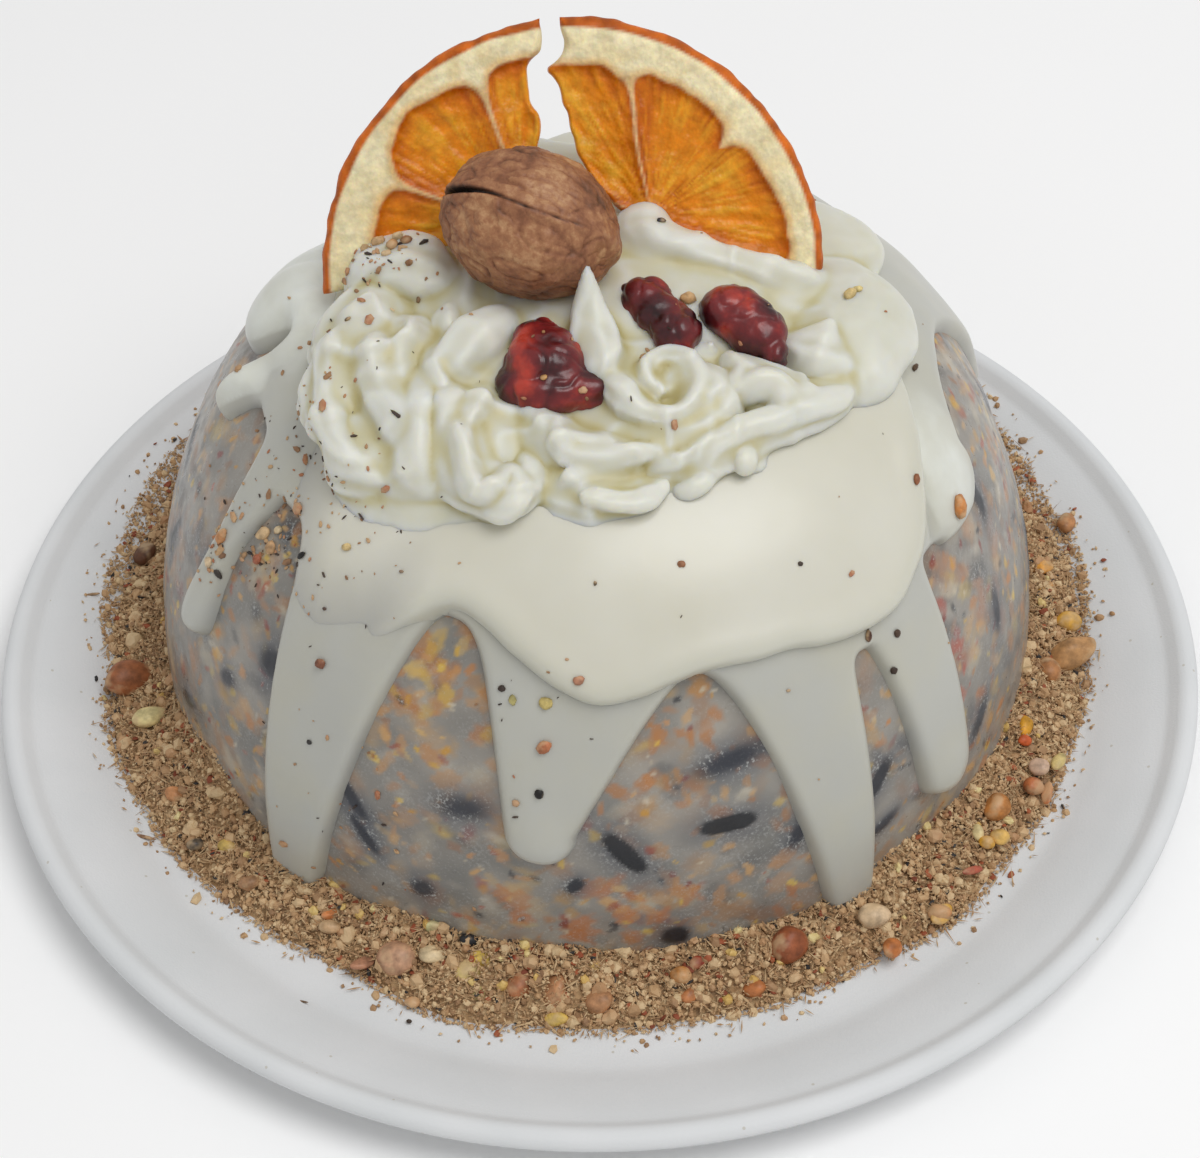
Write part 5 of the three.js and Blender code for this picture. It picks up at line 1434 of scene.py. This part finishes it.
PEBBLE = finer(*CHIP)
BEAN = finer(*finer(*PEBBLE))
CRUMB_TONES = ["#8a694c", "#a17e5b", "#b79269", "#c6a57c", "#d3b991", "#bf9e76"]
HUSK_TONES = ["#7c5c42", "#ab8760", "#c4a880", "#9c7754", "#bd9c73"]
SKIN_TONES = ["#6e3420", "#8d4628", "#a65c38"]
DARK_TONES = ["#1d1b1c", "#2f2b29", "#45403c"]
NUT_TONES = ["#a5764f", "#bf9a72", "#ceb48b", "#b68e68"]
MAIZE_TONES = ["#c0954a", "#d0b06a", "#dccb94", "#cda958"]
CRUMB_COUNT = 9800
GRAIN_COUNT = 24000
HUSK_COUNT = 9000
SKIN_COUNT = 420
DARK_COUNT = 420
NUT_COUNT = 420
MAIZE_COUNT = 90
STRAY_SHARE = 0.012
GRAIN_DUST = 1.1111
GRAIN_PATCH = 6.667


def any_turn(count, tip=1.0):
    """Random turns; a small tip keeps things lying nearly flat."""
    spin = rng.uniform(0, 2 * np.pi, count)
    lean = rng.normal(0, 1, count) * tip
    axis = rng.uniform(0, 2 * np.pi, count)
    cs, ss, cl, sl = np.cos(spin), np.sin(spin), np.cos(lean), np.sin(lean)
    flat = np.zeros((count, 3, 3))
    flat[:, 0, 0], flat[:, 0, 1], flat[:, 1, 0], flat[:, 1, 1], flat[:, 2, 2] = cs, -ss, ss, cs, 1
    kx, ky = np.cos(axis), np.sin(axis)
    tilt = np.empty((count, 3, 3))
    tilt[:, 0] = np.stack([cl + kx * kx * (1 - cl), kx * ky * (1 - cl), ky * sl], -1)
    tilt[:, 1] = np.stack([kx * ky * (1 - cl), cl + ky * ky * (1 - cl), -kx * sl], -1)
    tilt[:, 2] = np.stack([-ky * sl, kx * sl, cl], -1)
    return tilt @ flat


def bank_spread(count, low=0.0, high=1.03, sink=0.15):
    """Random places over the ring's surface, a few of them strayed past its foot."""
    angle = rng.uniform(-np.pi, np.pi, count)
    across = rng.uniform(low, high, count)
    stray = rng.random(count) < STRAY_SHARE
    across = np.where(stray, rng.uniform(1.0, 1.3, count), across)
    return on_bank(angle, across, -sink)


def uneven_sizes(size, low, high):
    """Half sizes in three directions, each a random share of a thing's size."""
    return size[:, None] * rng.uniform(low, high, (len(size), 3))


def copies(name, material, shape, places, sizes, turns, lumps, smooth):
    """Many loose things as one mesh: copies of a shape, each with its own lumps, size, turn and place."""
    points, faces = shape
    shapes = np.einsum("nij,nkj->nki", turns, points * lumps * sizes[:, None, :]) + places[:, None, :]
    index = faces[None] + (np.arange(len(places)) * len(points))[:, None, None]
    made = made_of(name, shapes.reshape(-1, 3), index.reshape(-1, 3), material, smooth)
    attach(made, "root")
    return made


def strewn(name, material, shape, places, sizes, turns, jitter=0.25):
    """Many loose things of one kind, strewn: each a rough copy of a shape, with its own tone."""
    count, corners = len(places), len(shape[0])
    lumps = 1 + jitter * rng.uniform(-1, 1, (count, corners, 1))
    made = copies(name, material, shape, places, sizes, turns, lumps, False)
    note(made, "kind", np.repeat(rng.uniform(0, 1, count), corners))


def grain_finish(name, tones, roughness=0.7):
    """Dry grain, husk or nut: hardly any shine, each piece its own tone of the range, mottled within it."""
    material, tree, bsdf, where = finish(name, Roughness=roughness, IOR=1.46)
    own = node(tree, "Attribute", attribute_name="kind").outputs["Fac"]
    dust = node(tree, "TexNoise", {"Vector": where, "Scale": scale_for(GRAIN_DUST), "Detail": 3.0})
    blend = node(tree, "Math", {0: dust.outputs["Fac"], 1: 0.3, 2: own}, operation="MULTIPLY_ADD")
    patch = node(tree, "TexNoise", {"Vector": where, "Scale": scale_for(GRAIN_PATCH), "Detail": 3.0,
                                    "Roughness": 0.6})
    patchy = node(tree, "Math", {0: patch.outputs["Fac"], 1: 1.1, 2: blend.outputs[0]},
                  operation="MULTIPLY_ADD")
    spread = node(tree, "MapRange", {0: patchy.outputs[0], 1: 0.55, 2: 1.85})
    stops = [(k / (len(tones) - 1), code) for k, code in enumerate(tones)]
    ramp = node(tree, "ValToRGB", {"Fac": spread.outputs[0]}, stops=stops)
    dusty = node(tree, "Bump", {"Height": dust.outputs["Fac"], "Strength": 0.3, "Distance": 0.2 * MM})
    fill(tree, bsdf, {"Base Color": ramp.outputs["Color"], "Normal": dusty.outputs[0]})
    return material


size = rng.lognormal(-0.9, 0.48, CRUMB_COUNT).clip(0.2, 1.35)
strewn("nut_crumbs", grain_finish("broken nut crumb", CRUMB_TONES), CHIP, bank_spread(CRUMB_COUNT),
       uneven_sizes(size, 0.6, 1.2), any_turn(CRUMB_COUNT))

size = rng.uniform(0.14, 0.42, GRAIN_COUNT)
strewn("fine_crumbs", grain_finish("fine nut crumb", CRUMB_TONES), GRIT,
       bank_spread(GRAIN_COUNT, 0, 1.05, -0.1), uneven_sizes(size, 0.6, 1.3), any_turn(GRAIN_COUNT))

long = rng.lognormal(0.0, 0.5, HUSK_COUNT).clip(0.4, 3.2)
strewn("husk_slivers", grain_finish("split husk sliver", HUSK_TONES), GRIT,
       bank_spread(HUSK_COUNT, 0, 1.07, -0.4),
       np.stack([long, rng.uniform(0.08, 0.2, HUSK_COUNT), rng.uniform(0.05, 0.1, HUSK_COUNT)], -1),
       any_turn(HUSK_COUNT, 0.5))

size = rng.uniform(0.4, 1.1, SKIN_COUNT)
strewn("red_skins", grain_finish("papery peanut skin", SKIN_TONES), CHIP,
       bank_spread(SKIN_COUNT, 0, 1.0, -0.1), size[:, None] * (1.0, 0.75, 0.35), any_turn(SKIN_COUNT, 0.6))

size = rng.uniform(0.25, 0.75, DARK_COUNT)
strewn("dark_specks", grain_finish("black seed husk, chipped", DARK_TONES), CHIP,
       bank_spread(DARK_COUNT, 0, 1.0, -0.1), size[:, None] * (1.3, 0.6, 0.4), any_turn(DARK_COUNT, 0.6))

size = rng.lognormal(0.0, 0.35, NUT_COUNT).clip(0.6, 2.1)
strewn("nut_pieces", grain_finish("chopped peanut", NUT_TONES, 0.55), PEBBLE,
       bank_spread(NUT_COUNT, 0.02, 0.95, 0.2), uneven_sizes(size, 0.55, 1.0), any_turn(NUT_COUNT), 0.22)

size = rng.uniform(0.7, 1.5, MAIZE_COUNT)
strewn("cracked_maize", grain_finish("cracked maize", MAIZE_TONES, 0.45), PEBBLE,
       bank_spread(MAIZE_COUNT, 0.0, 0.9, 0.0), uneven_sizes(size, 0.5, 1.0), any_turn(MAIZE_COUNT), 0.2)

# Whole nuts, maize and skins that can be told apart: place, half sizes, turn from the front, and tone.
WHOLE = [
    ((33, -71.5, 7.2), (3.6, 3.4, 3.2), 20, "#8e4f30"), ((-14.5, -77, 5.6), (4.2, 2.6, 2.2), 65, "#9c6442"),
    ((-8.5, -79, 5.4), (4, 2.7, 2.2), 80, "#ac7a54"), ((91.5, -2.5, 6.8), (5, 2.9, 2.6), 24, "#b08456"),
    ((86.5, -7.5, 7.2), (2.9, 2.4, 2.1), 100, "#a9754a"), ((-91, -5.5, 7), (4.6, 3.5, 3), 30, "#965c3a"),
    ((-86, -15.5, 7.2), (3.4, 2.2, 1.9), 20, "#dccb92"), ((92, 6, 6.4), (2.6, 2.1, 1.8), 0, "#cf9d3e"),
    ((-8.5, -84, 3.6), (2.1, 1.6, 1.3), 0, "#c9a958"), ((-24, -75, 6), (2.6, 1.9, 1.8), 20, "#d0b878"),
    ((-22.5, -79, 4.6), (1.6, 1.4, 1.3), 0, "#d3c284"), ((-37, -72, 5.8), (3.7, 3.4, 2.6), 0, "#b78d6f"),
    ((-30.5, -67.5, 8.6), (1.4, 1.2, 2.4), 0, "#d3cd98"), ((-24, -70, 8.2), (1.8, 1.4, 1.1), 0, "#2a2a2c"),
    ((-13.5, -73.5, 7.6), (3.4, 1.4, 0.9), 10, "#8c3d22"), ((-1.5, -76, 7.4), (1.4, 1.2, 1), 0, "#ccaa5a"),
    ((-1, -81.5, 5.2), (2.6, 2.4, 2.1), 0, "#b0805a"), ((13.5, -77, 6.2), (1.9, 1.7, 1.5), 0, "#bb7f45"),
    ((16.5, -75, 7.2), (1.7, 1.2, 1), 30, "#8b3320"), ((26.5, -79, 4.6), (2.1, 1.7, 1.5), 0, "#ab6a3e"),
    ((-91, 28, 7.2), (3, 2, 1.6), 60, "#5d3c29"), ((-34, -80, 3.6), (1.3, 1.1, 0.9), 0, "#b98a5f"),
    ((15, -80.5, 4.8), (1.8, 1.4, 1.2), 40, "#b5764a"), ((-49, -65.5, 6.6), (1.9, 1.4, 1.3), 0, "#c4a078"),
    ((-75, -46, 6.4), (1.6, 1.1, 1), 20, "#2b2a2b"), ((60.5, -64, 6), (2.1, 1.6, 1.4), 0, "#b77c4c"),
    ((73, -47.5, 6.6), (1.9, 1.6, 1.4), 0, "#cda55c"), ((88.5, 15, 6.6), (2.1, 1.6, 1.4), 60, "#c4935e"),
    ((80.5, -36, 7.2), (2.2, 1.8, 1.6), 20, "#a8623a"), ((-79.5, -34.5, 7), (1.9, 1.5, 1.4), 0, "#b98257"),
    ((-64.5, -55, 6.2), (1.8, 1.5, 1.3), 0, "#a9805d"), ((95, 33, 6.6), (2.4, 1.8, 1.6), 70, "#a9774e"),
    ((62, 74, 6.6), (4.2, 2.9, 2.4), 10, "#b37a4e"), ((-58, 78, 6.6), (3.8, 2.7, 2.4), 120, "#a9683f"),
    ((8, 96, 6.4), (3.7, 2.7, 2.2), 50, "#b88458"), ((-20, 94, 6.2), (2.2, 1.8, 1.4), 0, "#dcb24a"),
    ((38, 90, 6), (2.1, 1.8, 1.4), 0, "#d9a531"), ((-82, 52, 6.6), (2.7, 2.2, 1.9), 30, "#b98d64"),
    ((88.5, 20, 7.2), (2.3, 1.9, 1.3), 40, "#c98b35"), ((87.5, 13.5, 7.2), (1.7, 1.4, 1.1), 100, "#cfa047"),
    ((80.5, -22, 8), (2.2, 1.5, 1.2), 70, "#cf962f"), ((80, -25.5, 8), (1.5, 1.1, 0.9), 20, "#b9562c"),
    ((82, -31.5, 7.4), (2, 1.7, 1.1), 0, "#c9a990"), ((86, -29.5, 6.4), (2, 1.3, 1.1), 60, "#d0ba7c"),
    ((73, -41.5, 7.8), (2.9, 2.4, 2.1), 30, "#b4773f"), ((70.5, -49, 7), (1.5, 1.2, 1), 0, "#d09a35"),
    ((69, -47, 7.4), (1.6, 1.1, 0.9), 100, "#cdbb8a"), ((67.5, -55, 6.6), (2.4, 0.7, 0.5), 30, "#a65540"),
    ((61, -64, 5.6), (2.8, 1.5, 1.1), 50, "#cf9d3a"), ((83, -37, 6.2), (2.3, 1.2, 0.5), 80, "#b0683a"),
    ((65, -46, 8), (2.2, 0.6, 0.4), 150, "#3a2a22"), ((48.5, -65.5, 7.4), (3, 2.4, 1.9), 20, "#cbb08e"),
    ((51.5, -71.5, 6), (2.2, 1.8, 1.4), 60, "#b9703c"), ((-69, -46.5, 6.6), (1.7, 1.3, 1.1), 0, "#d0b062"),
    ((-49, -62.5, 6.6), (2, 1.2, 0.9), 40, "#bf7440"), ((-30.5, -72, 6.8), (2.6, 2, 1.4), 10, "#cdb791"),
    ((-21.5, -73.5, 7), (2.4, 1.5, 1.2), 160, "#d2b258"), ((-43, -72.5, 5.2), (2.6, 1.3, 0.8), 35, "#ab7a5e"),
]
LUMPY = 0.16
LEAN = 0.25
NUT_FLECK = 2.0833
FLAKE_SHARE = 0.45


def laid(name, material, shape, items):
    """Separate things at their own places as one mesh, each with its own half sizes, turn and tone."""
    points = shape[0]
    places, sizes = (np.array([item[part] for item in items], float) for part in (0, 1))
    clods = np.stack([cloud(points * 1.0 + 9.1 * k, 0.9, 131) for k in range(len(items))])
    turns = np.stack([np.array(Euler((rng.normal(0, LEAN), rng.normal(0, LEAN), item[2] * RAD)).to_matrix())
                      for item in items])
    made = copies(name, material, shape, places, sizes, turns, 1 + LUMPY * clods[..., None], True)
    note(made, "tone", np.repeat([rgb(item[3]) for item in items], len(points), 0))


def own_tone(name, roughness, fleck):
    """A finish that takes each thing's own tone, with skin and dust mottled over it."""
    material, tree, bsdf, where = finish(name, Roughness=roughness, IOR=1.46, Specular_IOR_Level=0.35)
    own = node(tree, "Attribute", attribute_name="tone").outputs["Color"]
    spot = node(tree, "TexNoise", {"Vector": where, "Scale": scale_for(fleck), "Detail": 4.0,
                                   "Roughness": 0.6})
    dapple = node(tree, "MapRange", {0: spot.outputs["Fac"], 1: 0.32, 2: 0.7, 3: 0.6, 4: 1.35})
    shaded = node(tree, "VectorMath", {0: own, 1: dapple.outputs[0]}, operation="MULTIPLY")
    flake = node(tree, "TexNoise", {"Vector": where, "Scale": scale_for(fleck) * FLAKE_SHARE, "Detail": 3.0})
    worn = node(tree, "MapRange", {0: flake.outputs["Fac"], 1: 0.52, 2: 0.64, 3: 0.0, 4: 0.6})
    peeled = node(tree, "Mix", {0: worn.outputs[0], 6: shaded.outputs[0], 7: tone("#c9ab84")},
                  data_type="RGBA")
    rough = node(tree, "Bump", {"Height": spot.outputs["Fac"], "Strength": 0.35, "Distance": 0.3 * MM})
    fill(tree, bsdf, {"Base Color": peeled.outputs[2], "Normal": rough.outputs[0]})
    return material


laid("whole_nuts", own_tone("peanut, skin on", 0.42, NUT_FLECK), BEAN, WHOLE)


# ---- stray grains ----------------------------------------------------------------------------------
# Grains that fell on the cake while its fat was soft and stuck where they landed: a few large ones, and
# a dusting of crumbs and husk, thickest over the left shoulder.
STRAY_LIFT = 0.45
STRAY_LUMPY = 0.14
DUST_LIFT = 0.1
GRAIN_FLECK = 1.4286
# The large ones: place, half sizes, turn and tone.
STRAYS = [
    ((63.5, -20, 65), (1.4, 2.2, 1.1), 8, "#bf7d45"), ((-47.5, -47.5, 57), (1.1, 0.9, 0.7), 0, "#84543f"),
    ((-3.5, -61, 67), (1, 0.8, 0.5), 20, "#a4745a"), ((-9, -61, 61.5), (1.2, 1.1, 0.6), 0, "#bda968"),
    ((-9.5, -64.5, 54.5), (1.4, 1.1, 0.7), 30, "#aa6a48"),
    ((-10.5, -68, 46.5), (0.8, 0.9, 0.5), 0, "#23201f"),
    ((-14.5, -68.5, 44.5), (0.7, 0.7, 0.5), 0, "#8c5a44"),
    ((-16.5, -58.5, 62.5), (0.7, 0.6, 0.4), 0, "#3a2f29"),
    ((-14.5, -60, 61.5), (0.7, 0.9, 0.4), 0, "#a09660"), ((46, -45.5, 60), (0.6, 1.2, 0.5), 0, "#5a3c2c"),
    ((51.5, -43, 57.5), (0.7, 0.8, 0.4), 30, "#4b382c"), ((51, -46.5, 52), (0.7, 0.7, 0.4), 0, "#3f3128"),
    ((14, -46, 79), (0.7, 0.6, 0.4), 0, "#9a6a4c"), ((-0.5, -49.5, 78.5), (0.3, 0.4, 0.3), 0, "#3c332c"),
    ((55, -23.5, 76), (0.6, 1, 0.5), 0, "#8e5a3c"), ((57, 3, 77), (1.1, 0.5, 0.5), 60, "#54402e"),
    ((45, 6, 93), (1.7, 0.9, 0.7), 50, "#c8b078"), ((46.5, 7.5, 93), (0.9, 0.7, 0.5), 10, "#d8c486"),
    ((16.5, -0.5, 99), (1.6, 1.2, 1), 20, "#c19a6a"), ((12, 14.5, 102.5), (0.9, 0.6, 0.4), 20, "#3a3840"),
    ((-51, -34, 70), (1.2, 0.5, 0.5), 15, "#1f1d1c"), ((-51.5, -26, 73.5), (1.3, 1.1, 0.7), 0, "#a8684a"),
    ((-42.5, -37.5, 75.5), (0.9, 0.7, 0.5), 0, "#c9b07c"),
    ((-47, -42.5, 65.5), (0.4, 0.3, 0.3), 0, "#57443a"), ((-33, -43, 75.5), (0.4, 0.3, 0.3), 0, "#8a7460"),
    ((-50.5, -52.5, 43), (0.5, 0.5, 0.3), 0, "#3d3a38"), ((34, -43, 75), (0.5, 0.4, 0.3), 0, "#4b4038"),
    ((32, -56, 58), (0.4, 0.3, 0.3), 0, "#8a7a6a"), ((-66, -20, 61), (1.6, 1.1, 0.8), 40, "#b98458"),
    ((-63, -21, 61.5), (1.1, 0.8, 0.6), 0, "#c7a67e"), ((-69, -21.5, 55.5), (0.9, 1.1, 0.6), 0, "#cdb694"),
    ((-67.5, -23.5, 55), (0.6, 1.1, 0.3), 30, "#3d3732"),
    ((-58.5, -23, 64.5), (1.6, 1.1, 0.9), 20, "#c8ab82"), ((-57, -26.5, 64), (1.3, 1.1, 0.8), 70, "#b9946c"),
    ((-59.5, -26, 61), (1, 0.9, 0.7), 0, "#a9654a"), ((-55.5, -24.5, 66.5), (0.9, 0.7, 0.6), 0, "#d2bd98"),
    ((-37.5, 13.5, 99.5), (1.3, 1, 0.8), 0, "#c3a076"), ((-35, 11.5, 101), (1.2, 1, 0.8), 50, "#b08458"),
    ((-32.5, 12, 101.5), (1.1, 0.8, 0.7), 0, "#8c6142"), ((-34, 14, 101), (1.1, 0.8, 0.8), 0, "#cdb48c"),
    ((-36, 9, 101), (0.9, 0.7, 0.5), 0, "#c9ae88"), ((-31.5, 6.5, 101), (0.7, 0.6, 0.5), 30, "#9c7250"),
    ((-39.5, 12.5, 98.5), (0.9, 0.7, 0.6), 0, "#b99a72"), ((-30, 3, 95.5), (0.4, 0.7, 0.3), 0, "#7a6248"),
    ((-42, -4, 97.5), (0.6, 0.3, 0.3), 20, "#6b5a48"), ((-8.5, -20, 98), (0.7, 0.5, 0.3), 0, "#b98a52"),
    ((-2, -21, 95.5), (0.8, 0.6, 0.4), 0, "#cf9f7c"), ((-8.5, -12, 101), (0.3, 0.3, 0.3), 0, "#a87a50"),
]


def surface_under(pieces):
    """All the points and outward normals of some pieces."""
    found = [points_of(piece) for piece in pieces]
    return np.vstack([points for points, _ in found]), np.vstack([normals for _, normals in found])


fallen_on, facing = surface_under([cake, drips, pour, cream] + berries)


def settled(place):
    """The nearest point of the cake's surface to a place, and which way it faces."""
    k = ((fallen_on - place) ** 2).sum(1).argmin()
    return fallen_on[k], facing[k]


def lying(normals, spin):
    """Turns that lay a thing flat on a surface, spun about its own upright."""
    lean = np.where(np.abs(normals[:, :1]) < 0.9, [(1.0, 0, 0)], [(0, 1.0, 0)])
    side = np.cross(normals, lean)
    side /= np.linalg.norm(side, axis=1)[:, None]
    along = np.cross(side, normals)
    c, s = np.cos(spin)[:, None], np.sin(spin)[:, None]
    return np.stack([c * along + s * side, -s * along + c * side, normals], -1)


places, sizes, turns, tones = ([item[part] for item in STRAYS] for part in range(4))
grounds = [settled(np.array(place)) for place in places]
sizes = np.array(sizes, float)
normals = np.array([way for _, way in grounds])
places = np.array([spot for spot, _ in grounds]) + normals * (sizes[:, 2:] * STRAY_LIFT)
corners = len(PEBBLE[0])
lumps = 1 + STRAY_LUMPY * rng.uniform(-1, 1, (len(STRAYS), corners, 1))
stray = copies("stray_grains", own_tone("grain and nut, loose", 0.5, GRAIN_FLECK), PEBBLE, places, sizes,
               lying(normals, np.array(turns) * RAD), lumps, True)
note(stray, "tone", np.repeat([rgb(code) for code in tones], corners, 0))

# Where the dusting lies: middle, reach in millimetres and number of bits. One bit in three is dark husk.
DUSTED = [((-50, -20, 77), 15, 170), ((-46, -34, 74), 12, 60), ((-66, -21, 59), 6, 60),
          ((-57, -25, 63), 5, 50), ((-36, 11, 99), 5, 46), ((-11, -63, 55), 12, 16),
          ((-40, -10, 94), 16, 40), ((0, 0, 75), 90, 130), ((-44, -56, 30), 16, 30)]
DUST_TONES = ["#6b4f3c", "#9c7654", "#bd9c74", "#a4694a", "#d2be98"]
DARK_DUST_TONES = ["#2c2623", "#4a3c33", "#3a2f2b"]
for kind, tones, slim, fewer in (("dusting", DUST_TONES, 0.7, 1), ("dark_dusting", DARK_DUST_TONES, 0.35, 3)):
    spots_at, ways = [], []
    for middle, reach, count in DUSTED:
        away = ((fallen_on - np.array(middle)) ** 2).sum(1)
        odds = np.exp(-away / reach ** 2) * (facing[:, 2] > -0.1)
        pick = rng.choice(len(fallen_on), count // fewer, p=odds / odds.sum())
        spots_at.append(fallen_on[pick])
        ways.append(facing[pick])
    spots_at, ways = np.vstack(spots_at), np.vstack(ways)
    size = rng.lognormal(-1.1, 0.55, len(spots_at)).clip(0.14, 1.1)
    strewn(kind, grain_finish(kind.replace("_", " ") + " of nut and husk", tones), CHIP,
           spots_at + ways * DUST_LIFT, size[:, None] * (1.2, slim, 0.5),
           lying(ways, rng.uniform(0, 2 * np.pi, len(spots_at))))

# Husk and crumbs that rolled clear of the ring and lie on the plate: place, half sizes, turn and tone.
ROLLED = [
    ((-85, -41.5, 3.2), (2.4, 0.4, 0.3), -20, "#8c6a50"),
    ((-100.5, 17.5, 6.6), (1.6, 0.3, 0.3), 10, "#a58868"),
    ((98.5, 46, 8.2), (2.6, 0.3, 0.3), -10, "#6b6660"), ((-34.5, -83.5, 2.8), (0.5, 0.4, 0.3), 0, "#4a3c32"),
    ((-63.5, -84, 4.6), (0.6, 0.4, 0.4), 0, "#7a4c38"), ((90.5, -44, 5), (0.7, 0.5, 0.4), 0, "#b99a70"),
    ((-54, -79, 3), (2.2, 0.3, 0.2), -30, "#7a6048"), ((52, -92, 5.6), (0.5, 0.4, 0.3), 0, "#8a6a4c"),
    ((101, 8, 6.4), (0.6, 0.5, 0.4), 0, "#a9835c"), ((20, -96, 3.4), (0.4, 0.4, 0.3), 0, "#6b543f"),
    ((70, 90, 8.6), (1.8, 0.3, 0.3), 70, "#8c7456"), ((-88, 60, 8.2), (0.7, 0.5, 0.4), 0, "#a5825c"),
]
HUSK_FLECK = 1.1111
laid("rolled_bits", own_tone("husk and crumb, dry", 0.7, HUSK_FLECK), PEBBLE, ROLLED)
